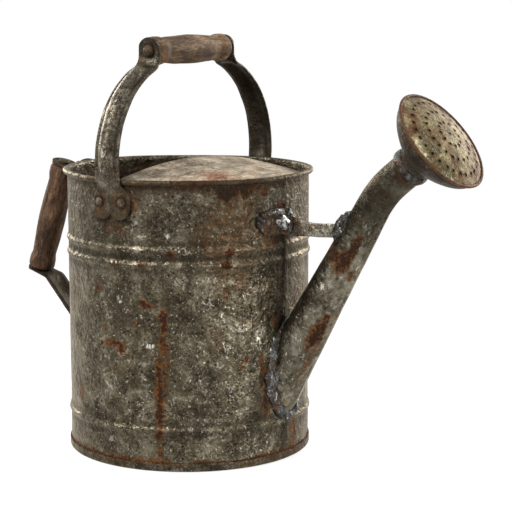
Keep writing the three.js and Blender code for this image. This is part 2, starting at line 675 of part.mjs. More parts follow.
// The cover is bent one way only: straight from its free edge down to the wall, arched from side to side
function makeSplashCover() {
  const reach = INNER_RADIUS * FACET_SHARE - CLEARANCE;
  const sweep = radians(COVER_SWEEP);
  const rings = [];
  for (let i = 0; i <= COVER_STEPS; i += 1) {
    const angle = sweep * ((2 * i) / COVER_STEPS - 1);
    const y = reach * Math.sin(angle);
    const wall = reach * Math.cos(angle);
    const crown = CAN_HEIGHT - COVER_SINK + COVER_ARCH * (1 - (y / reach) ** 2);
    const top = (x) => crown - COVER_FALL * x;
    const upper = [
      [COVER_EDGE, top(COVER_EDGE) - COVER_HEM],
      [COVER_EDGE, top(COVER_EDGE)],
      [COVER_EDGE + COVER_HEM, top(COVER_EDGE + COVER_HEM)],
      [wall, top(wall)],
      [wall, top(wall) - COVER_LIP],
    ];
    const lower = [
      [COVER_EDGE + SHEET, top(COVER_EDGE) - COVER_HEM],
      [COVER_EDGE + SHEET, top(COVER_EDGE) - SHEET],
      [COVER_EDGE + COVER_HEM, top(COVER_EDGE + COVER_HEM) - SHEET],
      [wall - SHEET, top(wall) - SHEET],
      [wall - SHEET, top(wall) - COVER_LIP],
    ];
    rings.push([...upper, ...lower.reverse()].map(([x, z]) => new THREE.Vector3(x, y, z)));
  }
  return solidFrom(lofted(rings, false));
}

// A turned grip about Z with its rod's bore, and the headed rod that it spins on
function makeGrip() {
  const half = GRIP_LENGTH / 2;
  const neck = half - GRIP_KNOB_LENGTH;
  const knob = half - GRIP_KNOB_LENGTH / 2;
  const edge = GRIP_KNOB_LENGTH / 5;
  const bore = (ROD_RADIUS + RUNNING_GAP) / Math.cos(Math.PI / GRIP_SIDES);
  const upper = [
    [GRIP_BELLY_RADIUS, 0],
    [(GRIP_BELLY_RADIUS + GRIP_NECK_RADIUS) / 2, neck * GRIP_BELLY_SHARE],
    [GRIP_NECK_RADIUS, neck],
    [GRIP_KNOB_RADIUS, knob],
    [GRIP_KNOB_RADIUS, half - edge],
    [GRIP_KNOB_RADIUS - edge, half],
    [bore, half],
  ];
  const lower = upper.slice(1).reverse().map(([radius, height]) => [radius, -height]);
  return solidFrom(revolved([...lower, ...upper], GRIP_SIDES));
}

function makeRod() {
  const seat = GRIP_END + STRAP_THICKNESS + CLEARANCE;
  const upper = [
    [ROD_RADIUS, seat],
    [ROD_HEAD_RADIUS, seat],
    [ROD_HEAD_RADIUS * HEAD_CROWN_SHARE, seat + ROD_HEAD_HEIGHT * HEAD_SHOULDER_SHARE],
    [0, seat + ROD_HEAD_HEIGHT],
  ];
  const lower = upper.map(([radius, height]) => [radius, -height]).reverse();
  return solidFrom(revolved([...lower, ...upper], SMALL_SIDES));
}

// Rose about Z, its rim at the origin and its face toward +Z
const sleeveRadius = NECK_RADIUS + CLEARANCE + SHEET;
const seatRadius = ROSE_RADIUS - ROSE_RIM * ROSE_SEAT_SHARE;
const faceRadius = seatRadius - CLEARANCE;

function makeRoseCone() {
  const mouth = ROSE_RADIUS - ROSE_RIM;
  const bell = new THREE.QuadraticBezierCurve(
    new THREE.Vector2(sleeveRadius, -ROSE_DEPTH),
    new THREE.Vector2(mouth, ROSE_BULGE - ROSE_DEPTH),
    new THREE.Vector2(mouth, -ROSE_RIM),
  );
  const outer = [];
  const inner = [];
  for (let i = 0; i <= ROSE_STEPS; i += 1) {
    const point = bell.getPoint(i / ROSE_STEPS);
    const along = bell.getTangent(i / ROSE_STEPS);
    outer.push(point.toArray());
    inner.push([point.x - SHEET * along.y, point.y + SHEET * along.x]);
  }
  const half = ROSE_RIM / 2;
  const seat = -SHEET - CLEARANCE;
  const sleeveEnd = -ROSE_DEPTH - SLEEVE_LENGTH;
  return solidFrom(revolved([
    [sleeveRadius, sleeveEnd],
    ...outer,
    [ROSE_RADIUS, -half],
    [ROSE_RADIUS, half / 2],
    [(ROSE_RADIUS + seatRadius) / 2, half],
    [seatRadius, half / 2],
    [seatRadius, seat],
    [mouth - SHEET, seat],
    ...inner.reverse(),
    [sleeveRadius - SHEET, inner.at(-1)[1]],
    [sleeveRadius - SHEET, sleeveEnd],
  ], ROSE_SIDES));
}

function makeRoseFace() {
  const rise = (radius) => FACE_RISE * (1 - (radius / faceRadius) ** 2);
  const upper = [];
  for (let i = 0; i <= FACE_RINGS; i += 1) {
    const radius = (faceRadius * i) / FACE_RINGS;
    upper.push([radius, rise(radius)]);
  }
  const lower = upper.map(([radius, height]) => [radius, height - SHEET]);
  let face = solidFrom(revolved([...lower, ...upper.reverse()], ROSE_SIDES));
  const drill = (radius, turn) => {
    const bore = new THREE.CylinderGeometry(HOLE_RADIUS, HOLE_RADIUS, 4 * FACE_RISE, HOLE_SIDES);
    bore.rotateX(Math.PI / 2).translate(radius * Math.cos(turn), radius * Math.sin(turn), 0);
    face = face.subtract(solidFrom(bore));
  };
  drill(0, 0);
  for (let ring = 1; ring <= HOLE_RING_COUNT; ring += 1) {
    const holes = FIRST_RING_HOLES + MORE_HOLES_PER_RING * (ring - 1);
    for (let i = 0; i < holes; i += 1) {
      drill(faceRadius * HOLE_RING_SHARE * ring, (2 * Math.PI * (i + ring / 2)) / holes);
    }
  }
  return face;
}

// The crust of weld behind the rose's sleeve, uneven round the neck
function makeNeckWeld() {
  const inner = NECK_RADIUS + CLEARANCE;
  const top = -ROSE_DEPTH - SLEEVE_LENGTH - CLEARANCE;
  const rings = [];
  for (let i = 0; i < ROSE_SIDES; i += 1) {
    const turn = (2 * Math.PI * i) / ROSE_SIDES;
    const outer = inner + NECK_WELD_HEIGHT * lumpAt(turn);
    const back = top - NECK_WELD_LENGTH * lumpAt(turn);
    const section = [
      [inner, back],
      [(inner + outer) / 2, back + NECK_WELD_LENGTH * NECK_WELD_TOE],
      [outer, (back + top) / 2],
      [(inner + 2 * outer) / 3, top],
      [inner, top],
    ];
    const point = ([radius, z]) => new THREE.Vector3(radius * Math.cos(turn), radius * Math.sin(turn), z);
    rings.push(section.map(point));
  }
  return solidFrom(lofted(rings, true));
}

// Scene graph
const can = new THREE.Group();

function place(parent, name, solid, finish) {
  const geometry = solid.isBufferGeometry ? solid : geometryFrom(solid);
  const mesh = new THREE.Mesh(geometry, new THREE.MeshStandardMaterial(finish));
  mesh.name = name;
  parent.add(mesh);
  return mesh;
}

place(can, 'body_shell', makeBodyShell(), ZINC);
place(can, 'bottom_pan', makeBottomPan(), ZINC);
place(can, 'rim_wire', makeRimWire(), STEEL);
place(can, 'splash_cover', makeSplashCover(), WORN_ZINC);
place(can, 'bail_leg_front', makeBailLeg(-90, bailRivets.slice(0, 2)), ZINC);
place(can, 'bail_leg_back', makeBailLeg(90, bailRivets.slice(2)), ZINC);
place(can, 'rear_upper_strap', makeRearStrap(true), ZINC);
place(can, 'rear_lower_strap', makeRearStrap(false), ZINC);

for (const [prefix, places] of [['bail_rivet', bailRivets], ['rear_rivet', rearRivets]]) {
  places.forEach(({ angle, height }, i) => {
    const rivet = place(can, `${prefix}_${i + 1}`, rivetGeometry(), STEEL);
    rivet.position.z = height;
    rivet.rotation.z = radians(angle);
  });
}

const topHandle = new THREE.Group();
topHandle.position.z = GRIP_HEIGHT;
topHandle.rotation.x = -Math.PI / 2;
place(topHandle, 'top_grip', makeGrip(), OLD_WOOD);
place(topHandle, 'top_grip_rod', makeRod(), STEEL);
can.add(topHandle);

const rearHandle = new THREE.Group();
rearHandle.position.set(-rearGripRadius, 0, rearGripHeight);
rearHandle.rotation.y = tilt;
place(rearHandle, 'rear_grip', makeGrip(), OLD_WOOD);
place(rearHandle, 'rear_grip_rod', makeRod(), STEEL);
can.add(rearHandle);

place(can, 'spout_tube', makeSpoutTube(), ZINC);
place(can, 'spout_weld', makeSpoutWeld(), WELD_METAL);
place(can, 'spout_brace', makeBrace(), ZINC);
place(can, 'brace_weld_body', makeBraceWeld(false), WELD_METAL);
place(can, 'brace_weld_spout', makeBraceWeld(true), WELD_METAL);

const rose = new THREE.Group();
const neckEnd = spoutStation(spoutLength).centre;
rose.position.set(neckEnd.x, 0, neckEnd.z);
rose.rotation.y = Math.PI / 2 - neckSlope;
rose.translateZ(ROSE_DEPTH);
place(rose, 'rose_cone', makeRoseCone(), ROSE_METAL);
place(rose, 'rose_face', makeRoseFace(), ROSE_METAL);
place(rose, 'neck_weld', makeNeckWeld(), WELD_METAL);
can.add(rose);

export default can;
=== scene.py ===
"""Looks of an old galvanised watering can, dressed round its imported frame.

Sizes are in millimetres until a mesh is made. The axes are the frame's: +X toward the spout, +Y along the
top grip and +Z up, with the origin in the middle of the flat underside.
"""

import itertools
import logging
import math
from dataclasses import dataclass, field
from enum import Enum
from typing import Sequence

import bmesh
import bpy
import numpy as np
from mathutils import Matrix, Vector
from mathutils.geometry import delaunay_2d_cdt


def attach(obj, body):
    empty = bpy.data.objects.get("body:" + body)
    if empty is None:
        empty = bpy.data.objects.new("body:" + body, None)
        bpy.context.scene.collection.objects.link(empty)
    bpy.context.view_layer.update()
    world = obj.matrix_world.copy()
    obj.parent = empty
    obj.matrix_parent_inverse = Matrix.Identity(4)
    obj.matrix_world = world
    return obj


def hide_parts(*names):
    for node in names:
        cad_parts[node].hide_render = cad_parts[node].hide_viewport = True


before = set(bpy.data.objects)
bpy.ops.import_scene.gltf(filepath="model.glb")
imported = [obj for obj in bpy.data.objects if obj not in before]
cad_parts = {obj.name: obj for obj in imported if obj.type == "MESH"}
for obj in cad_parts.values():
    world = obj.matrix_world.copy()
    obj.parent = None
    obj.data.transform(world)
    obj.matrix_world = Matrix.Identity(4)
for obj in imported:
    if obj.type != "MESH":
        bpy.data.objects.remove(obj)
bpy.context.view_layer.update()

LOG = logging.getLogger("watering_can")
MM = 0.001
TURN = 2.0 * math.pi
SHARP_ANGLE = math.radians(50.0)
LATTICE_STEPS = np.array([73856093, 19349663, 83492791], dtype=np.int64)
LATTICE_SEED_STEP = 2654435761
LATTICE_MIX = 1274126177
Colour = tuple[float, float, float, float]
Triple = tuple[float, float, float]
Array = np.ndarray
Masks = tuple[Array, Array]
Socket = bpy.types.NodeSocket
Tree = bpy.types.NodeTree
Object = bpy.types.Object
Material = bpy.types.Material


class Wear(Enum):
    """Kinds of wear and painted light that a piece carries as a mask on its points: the pale mask also holds
    painted glints and highlights, and the dark mask also holds painted shade and shadows.
    """

    RUST = "rust"
    # pale mask: scrapes and scratches, and painted glints and highlights
    SCUFF_AND_GLINT = "scuff_and_glint"
    # dark mask: dirt, and painted shade and painted shadows
    GRIME_AND_SHADE = "grime_and_shade"


class Body(Enum):
    """The frame's moving bodies."""

    CAN = "can"
    TOP_GRIP = "top_grip"
    REAR_GRIP = "rear_grip"


class Slot(Enum):
    """The record's material slots."""

    ZINC = "zinc_sheet"
    COVER = "worn_cover"
    STEEL = "dark_steel"
    WELD = "weld_metal"
    WOOD = "old_wood"
    ROSE = "rose_metal"


# Numbers, noise and paths

def linear(red: int, green: int, blue: int) -> Colour:
    """Turns a screen colour, 0 to 255, into a shader's linear colour by the sRGB curve."""
    shares = np.array([red, green, blue]) / 255.0
    return (*np.where(shares <= 0.04045, shares / 12.92, ((shares + 0.055) / 1.055) ** 2.4).tolist(), 1.0)


def smooth(low: float, high: float, value: Array) -> Array:
    """Rises smoothly from 0 where a value is low to 1 where it is high."""
    share = np.clip((np.asarray(value, float) - low) / (high - low), 0.0, 1.0)
    return share * share * (3.0 - 2.0 * share)


def fall(low: float, high: float, value: Array) -> Array:
    """Falls smoothly from 1 where a value is low to 0 where it is high."""
    return 1.0 - smooth(low, high, value)


def lattice_values(lattice: Array, seed: int) -> Array:
    """Gives each whole-number lattice point a fixed value from -1 to 1.

    Args:
        lattice: Whole-number points.
        seed: Picks one of many fields.

    Returns:
        One value per point.
    """
    mixed = (lattice * LATTICE_STEPS).sum(axis=-1) + LATTICE_SEED_STEP * (seed + 1)
    mixed = np.bitwise_xor(mixed, mixed >> 13) * LATTICE_MIX
    mixed = np.bitwise_xor(mixed, mixed >> 16)
    return (mixed & 0xFFFF) / 32767.5 - 1.0


def value_noise(points: Array, cell: float, seed: int) -> Array:
    """Smooth noise over space, the same on every run.

    Args:
        points: Points in millimetres.
        cell: Size of one swell.
        seed: Picks one of many fields.

    Returns:
        Values from -1 to 1, one per point.
    """
    scaled = np.asarray(points, float) / cell
    base = np.floor(scaled).astype(np.int64)
    part = scaled - base
    fade = part * part * (3.0 - 2.0 * part)
    total = np.zeros(scaled.shape[:-1])
    for corner in itertools.product((0, 1), repeat=3):
        share = np.where(np.array(corner) == 1, fade, 1.0 - fade).prod(axis=-1)
        total += share * lattice_values(base + np.array(corner), seed)
    return total


def layered(points: Array, *layers: tuple[float, float, int]) -> Array:
    """Adds up noise of several sizes, each given as its strength, its cell and its seed."""
    return sum(strength * value_noise(points, cell, seed) for strength, cell, seed in layers)


def hill(value: Array, middle: float, width: float) -> Array:
    """Gives 1 where a value is at the middle, and less on both sides of it."""
    return np.exp(-(((value - middle) / width) ** 2))


def whole_turn(count: int) -> Array:
    """Gives even angles round one turn."""
    return np.linspace(0.0, TURN, count, endpoint=False)


def resampled(corners: Array, spacing: float) -> Array:
    """Spreads points evenly along a line of corners.

    Args:
        corners: Corner points.
        spacing: Wanted distance between points.

    Returns:
        Points at even distances, both ends kept.
    """
    steps = np.linalg.norm(np.diff(corners, axis=0), axis=1)
    lengths = np.concatenate([[0.0], np.cumsum(steps)])
    marks = np.linspace(0.0, lengths[-1], max(int(lengths[-1] / spacing), 2) + 1)
    axes = range(corners.shape[1])
    return np.stack([np.interp(marks, lengths, corners[:, axis]) for axis in axes], axis=1)


class Path:
    """A smooth line through space or a plane, read by distance along it."""

    def __init__(self, corners: Sequence[Sequence[float]], passes: int, spacing: float = 1.0) -> None:
        """Rounds the corners of a line.

        Args:
            corners: Corner points.
            passes: How often the line is smoothed.
            spacing: Distance between its points.
        """
        points = resampled(np.asarray(corners, float), spacing)
        for _ in range(passes):
            points[1:-1] = (points[:-2] + 2.0 * points[1:-1] + points[2:]) / 4.0
        self.points = resampled(points, spacing)
        steps = np.linalg.norm(np.diff(self.points, axis=0), axis=1)
        self.marks = np.concatenate([[0.0], np.cumsum(steps)])
        self.length = float(self.marks[-1])

    def at(self, distance: Array) -> Array:
        """Gives the points at distances along the line, one row of coordinates each."""
        axes = range(self.points.shape[1])
        return np.stack([np.interp(distance, self.marks, self.points[:, axis]) for axis in axes], axis=-1)

    def heading(self, distance: Array) -> Array:
        """Gives the line's direction.

        Args:
            distance: Distances along the line.

        Returns:
            Unit directions.
        """
        here = np.clip(distance, 1.0, self.length - 1.0)
        ahead = self.at(here + 1.0) - self.at(here - 1.0)
        return ahead / np.linalg.norm(ahead, axis=-1, keepdims=True)

    def nearest_mark(self, point: Sequence[float]) -> float:
        """Gives the distance along the line that is closest to a point."""
        return float(self.marks[np.linalg.norm(self.points - np.asarray(point), axis=1).argmin()])


def turned(points: Array, degrees: float) -> Array:
    """Turns points about Z.

    Args:
        points: Points to turn.
        degrees: Angle of the turn.

    Returns:
        The turned points.
    """
    angle = math.radians(degrees)
    x = points[..., 0] * math.cos(angle) - points[..., 1] * math.sin(angle)
    y = points[..., 0] * math.sin(angle) + points[..., 1] * math.cos(angle)
    return np.stack([x, y, points[..., 2]], axis=-1)


# Meshes

@dataclass
class Surface:
    """Points and faces of a closed piece, with masks of wear and painted light on its points."""

    points: Array
    faces: list
    wear: dict[Wear, Array] = field(default_factory=dict)

    def moved(self, matrix: Matrix) -> "Surface":
        """Returns the surface moved by a matrix, with the same wear."""
        spin, place = np.array(matrix.to_3x3()), np.array(matrix.to_translation())
        return Surface(self.points @ spin.T + place, self.faces, self.wear)

    def joined(self, other: "Surface") -> "Surface":
        """Joins another surface to this one.

        Args:
            other: The other surface.

        Returns:
            Both as one.
        """
        offset = len(self.points)
        faces = list(self.faces) + [[index + offset for index in face] for face in other.faces]
        wear = {kind: np.concatenate([mask, other.wear[kind]]) for kind, mask in self.wear.items()}
        return Surface(np.concatenate([self.points, other.points]), faces, wear)

    def worn(self, rust: Array | float, scuff_and_glint: Array | float, grime_and_shade: Array | float) -> "Surface":
        """Sets the wear and painted light of every point from 0 to 1, and returns the surface."""
        for kind, mask in ((Wear.RUST, rust), (Wear.SCUFF_AND_GLINT, scuff_and_glint), (Wear.GRIME_AND_SHADE, grime_and_shade)):
            self.wear[kind] = np.clip(np.zeros(len(self.points)) + mask, 0.0, 1.0)
        return self


def compacted(points: Array, faces: list) -> tuple[Surface, Array]:
    """Drops the points that no face uses.

    Args:
        points: All points.
        faces: Faces, by the numbers of their points.

    Returns:
        The surface, and the numbers of the points that it keeps.
    """
    used, renamed = np.unique(np.concatenate([np.array(face) for face in faces]), return_inverse=True)
    ends = np.cumsum([len(face) for face in faces])[:-1]
    return Surface(points[used], [part.tolist() for part in np.split(renamed.ravel(), ends)]), used


def shell(outer: Array, inner: Array, wrap: bool, rust: Masks, scuff_and_glint: Masks, grime_and_shade: Masks,
          removed: Array | None = None) -> Surface:
    """Closes two matching grids of points into one thin sheet.

    Args:
        outer: Points of one face, by row and column.
        inner: Points of the other face.
        wrap: Whether the last column meets the first.
        rust: Rust of the outer and the inner face.
        scuff_and_glint: Pale scrapes and painted glints of both.
        grime_and_shade: Dark dirt and painted shade of both.
        removed: Cells that are cut out.

    Returns:
        The closed sheet.
    """
    rows, columns = outer.shape[:2]
    count = rows * columns
    spans = columns if wrap else columns - 1
    row, column = np.meshgrid(np.arange(rows - 1), np.arange(spans), indexing="ij")
    kept = np.ones(row.shape, bool) if removed is None else ~removed[:, :spans]
    row, column = row[kept], column[kept]
    beside = (column + 1) % columns
    below, above = row * columns, (row + 1) * columns
    quads = np.stack([below + column, below + beside, above + beside, above + column], axis=1)
    starts, ends = quads.ravel(), np.roll(quads, -1, axis=1).ravel()
    edge = ~np.isin(starts * count + ends, ends * count + starts)
    start, end = starts[edge], ends[edge]
    sides = np.stack([end, start, start + count, end + count], axis=1)
    faces = np.concatenate([quads, quads[:, ::-1] + count, sides])
    used, renamed = np.unique(faces, return_inverse=True)
    points = np.concatenate([outer.reshape(-1, 3), inner.reshape(-1, 3)])[used]
    masks = [np.concatenate([mask.ravel() for mask in pair])[used] for pair in (rust, scuff_and_glint, grime_and_shade)]
    return Surface(points, renamed.reshape(-1, 4).tolist()).worn(*masks)


def lathe(profile: Sequence[Sequence[float]], sides: int, closed: bool = False) -> Surface:
    """Turns a profile of [radius, height] rows about Z.

    Args:
        profile: Rows in order, where a radius of 0 makes a pole.
        sides: Columns round the turn.
        closed: Whether the last row meets the first.

    Returns:
        The turned surface.
    """
    rows = np.asarray(profile, float)
    angles = np.arange(sides) * TURN / sides
    x = rows[:, :1] * np.cos(angles)
    y = rows[:, :1] * np.sin(angles)
    z = np.repeat(rows[:, 1:], sides, axis=1)
    points = np.stack([x, y, z], axis=-1).reshape(-1, 3)
    pole = rows[:, 0] < 1e-9
    faces = []
    for row in range(len(rows) if closed else len(rows) - 1):
        after = (row + 1) % len(rows)
        for column in range(sides):
            beside = (column + 1) % sides
            near = [row * sides] if pole[row] else [row * sides + column, row * sides + beside]
            far = [after * sides] if pole[after] else [after * sides + beside, after * sides + column]
            faces.append(near + far)
    return compacted(points, faces)[0]


def closed_ring(grid: Array) -> Surface:
    """Closes a grid that wraps both ways into one ring.

    Args:
        grid: Points by place round the ring and place round its section.

    Returns:
        The ring.
    """
    rows, columns = grid.shape[:2]
    row, column = np.meshgrid(np.arange(rows), np.arange(columns), indexing="ij")
    row, column = row.ravel(), column.ravel()
    here, after = row * columns, (row + 1) % rows * columns
    beside = (column + 1) % columns
    quads = np.stack([here + column, here + beside, after + beside, after + column], axis=1)
    return Surface(grid.reshape(-1, 3).copy(), quads.tolist())


def mesh_object(name: str, surface: Surface) -> Object:
    """Makes a Blender object from a surface.

    Args:
        name: Name of the piece.
        surface: Its points, faces and wear.

    Returns:
        The object, linked to the scene.
    """
    mesh = bpy.data.meshes.new(name)
    mesh.from_pydata((surface.points * MM).tolist(), [], surface.faces)
    editing = bmesh.new()
    editing.from_mesh(mesh)
    bmesh.ops.recalc_face_normals(editing, faces=editing.faces)
    editing.to_mesh(mesh)
    editing.free()
    mesh.polygons.foreach_set("use_smooth", [True] * len(mesh.polygons))
    mesh.set_sharp_from_angle(angle=SHARP_ANGLE)
    for kind in Wear:
        values = surface.wear.get(kind, np.zeros(len(surface.points)))
        mask = mesh.attributes.new(kind.value, "FLOAT", "POINT")
        mask.data.foreach_set("value", np.asarray(values, np.float32))
    piece = bpy.data.objects.new(name, mesh)
    bpy.context.scene.collection.objects.link(piece)
    return piece


def dress(piece: Object, material: Material, body: Body,
          nodes: Sequence[str]) -> Object:
    """Gives a piece its finish, its body and the frame nodes that it stands for.

    Args:
        piece: The object.
        material: Its finish.
        body: The body that it moves with.
        nodes: The frame nodes that it replaces.

    Returns:
        The same object.
    """
    piece.data.materials.append(material)
    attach(piece, body.value)
    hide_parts(*nodes)
    LOG.info("%s on %s for %s", piece.name, body.value, ", ".join(nodes))
    return piece


# Wear and painted light, listed one by one

@dataclass(frozen=True)
class Stain:
    """A patch of wear on a round piece, some patches being painted shade, painted shadows and painted
    highlights: degrees round it, millimetres along it, and its half sizes.
    """

    kind: Wear
    around: float
    along: float
    half_width: float
    half_length: float
    strength: float


def stains_of(kind: Wear, rows: Sequence[Sequence[float]]) -> tuple[Stain, ...]:
    """Makes stains of one kind from rows of the other fields."""
    return tuple(Stain(kind, *row) for row in rows)


@dataclass(frozen=True)
class Dent:
    """A knock in a round piece: degrees round it, millimetres along it, its reach and its depth."""

    around: float
    along: float
    reach: float
    depth: float


@dataclass(frozen=True)
class Spatter:
    """A small lump of weld on the wall: degrees round it, rise above the brace, half size, and share of
    painted glints.
    """

    around: float
    rise: float
    size: float
    bright: float


@dataclass
class Unrolled:
    """Flat coordinates of a round piece: its angle in radians, its length and its radius."""

    around: Array
    along: Array
    radius: Array | float

    def offset(self, degrees: float, along: float) -> tuple[Array, Array]:
        """Gives every point's distance across and along from one place."""
        turn = np.remainder(self.around - math.radians(degrees) + math.pi, TURN) - math.pi
        return turn * self.radius, self.along - along

    def masks(self, stains: Sequence[Stain], points: Array) -> list[Array]:
        """Spreads stains with ragged edges.

        Args:
            stains: All stains of the piece.
            points: The piece's points.

        Returns:
            Rust, pale scrapes with painted glints, and dark dirt with painted shade at each point.
        """
        ragged = layered(points, (0.3, 8.0, 11), (0.22, 3.2, 12))
        totals = {kind: np.zeros(points.shape[:-1]) for kind in Wear}
        for stain in stains:
            across, along = self.offset(stain.around, stain.along)
            reach = np.hypot(across / stain.half_width, along / stain.half_length)
            cover = stain.strength * fall(0.4, 1.2, reach + ragged)
            totals[stain.kind] = np.maximum(totals[stain.kind], cover)
        return list(totals.values())

    def knocks(self, dents: Sequence[Dent]) -> Array:
        """Adds up dents.

        Args:
            dents: The dents.

        Returns:
            Depth at each point.
        """
        total = np.zeros(np.broadcast(self.around, self.along).shape)
        for dent in dents:
            across, along = self.offset(dent.around, dent.along)
            total += dent.depth * np.exp(-2.0 * (across**2 + along**2) / dent.reach**2)
        return total


# Shader nodes

class Graph:
    """Adds and links nodes in one shader tree."""

    def __init__(self, tree: Tree) -> None:
        """Keeps the tree that nodes are added to."""
        self.tree = tree

    def add(self, kind: str, inputs: dict | None = None, **settings: object) -> bpy.types.Node:
        """Adds a node.

        Args:
            kind: Blender's name of the node type.
            inputs: Constants or output sockets by input name or number.
            **settings: The node's own properties.

        Returns:
            The new node.
        """
        node = self.tree.nodes.new(kind)
        for name, value in settings.items():
            setattr(node, name, value)
        for name, value in (inputs or {}).items():
            self.feed(node.inputs[name], value)
        return node

    def feed(self, socket: Socket, value: object) -> None:
        """Links an output to a socket, or sets the socket's constant."""
        if isinstance(value, Socket):
            self.tree.links.new(value, socket)
        else:
            socket.default_value = value

    def math(self, operation: str, first: object, second: object, clamp: bool = True) -> Socket:
        """Adds one sum of two values and returns its result, kept between 0 and 1 where asked."""
        node = self.add("ShaderNodeMath", {0: first, 1: second}, operation=operation, use_clamp=clamp)
        return node.outputs[0]

    def times(self, value: object, factor: float) -> Socket:
        """Multiplies a value without a limit."""
        return self.math("MULTIPLY", value, factor, False)

    def between(self, value: object, low: float, high: float) -> Socket:
        """Reads a value as a smooth share from low to high."""
        inputs = {"Value": value, "From Min": low, "From Max": high}
        return self.add("ShaderNodeMapRange", inputs, interpolation_type="SMOOTHSTEP").outputs["Result"]

    def blend(self, share: object, first: object, second: object) -> Socket:
        """Mixes two colours by a share and returns the result."""
        node = self.add("ShaderNodeMix", {0: share, 6: first, 7: second}, data_type="RGBA")
        return node.outputs[2]

    def between_values(self, share: object, first: object, second: object) -> Socket:
        """Mixes two numbers by a share and returns the result."""
        node = self.add("ShaderNodeMix", {0: share, 2: first, 3: second}, data_type="FLOAT")
        return node.outputs[0]

    def noise(self, vector: object, scale: object, detail: float, rough: float,
              bend: float = 0.0) -> Socket:
        """Adds cloudy noise and returns its value."""
        inputs = {"Vector": vector, "Scale": scale, "Detail": detail, "Roughness": rough, "Distortion": bend}
        return self.add("ShaderNodeTexNoise", inputs).outputs[0]

    def cells(self, vector: object, scale: object, feature: str = "F1") -> bpy.types.Node:
        """Adds a field of random cells and returns its node."""
        inputs = {"Vector": vector, "Scale": scale, "Randomness": 1.0}
        return self.add("ShaderNodeTexVoronoi", inputs, feature=feature)

    def stretched(self, vector: object, scale: object) -> Socket:
        """Scales coordinates by a different amount on each axis."""
        return self.add("ShaderNodeMapping", {"Vector": vector, "Scale": scale}).outputs["Vector"]

    def mask(self, kind: Wear) -> Socket:
        """Reads one kind of wear from the piece's points."""
        return self.add("ShaderNodeAttribute", attribute_name=kind.value).outputs["Fac"]

    def ramp(self, value: object, stops: Sequence[tuple[float, Colour]]) -> Socket:
        """Turns a value into a colour.

        Args:
            value: Value from 0 to 1.
            stops: Places and colours in order.

        Returns:
            The colour.
        """
        node = self.add("ShaderNodeValToRGB", {"Fac": value})
        elements = node.color_ramp.elements
        while len(elements) < len(stops):
            elements.new(1.0)
        for element, (place, colour) in zip(elements, stops):
            element.position = place
            element.color = colour
        return node.outputs["Color"]

    def effect(self, group: Tree, inputs: dict) -> dict[str, Socket]:
        """Places a shared effect and returns its outputs by name."""
        node = self.add("ShaderNodeGroup", inputs, node_tree=group)
        return {socket.name: socket for socket in node.outputs}


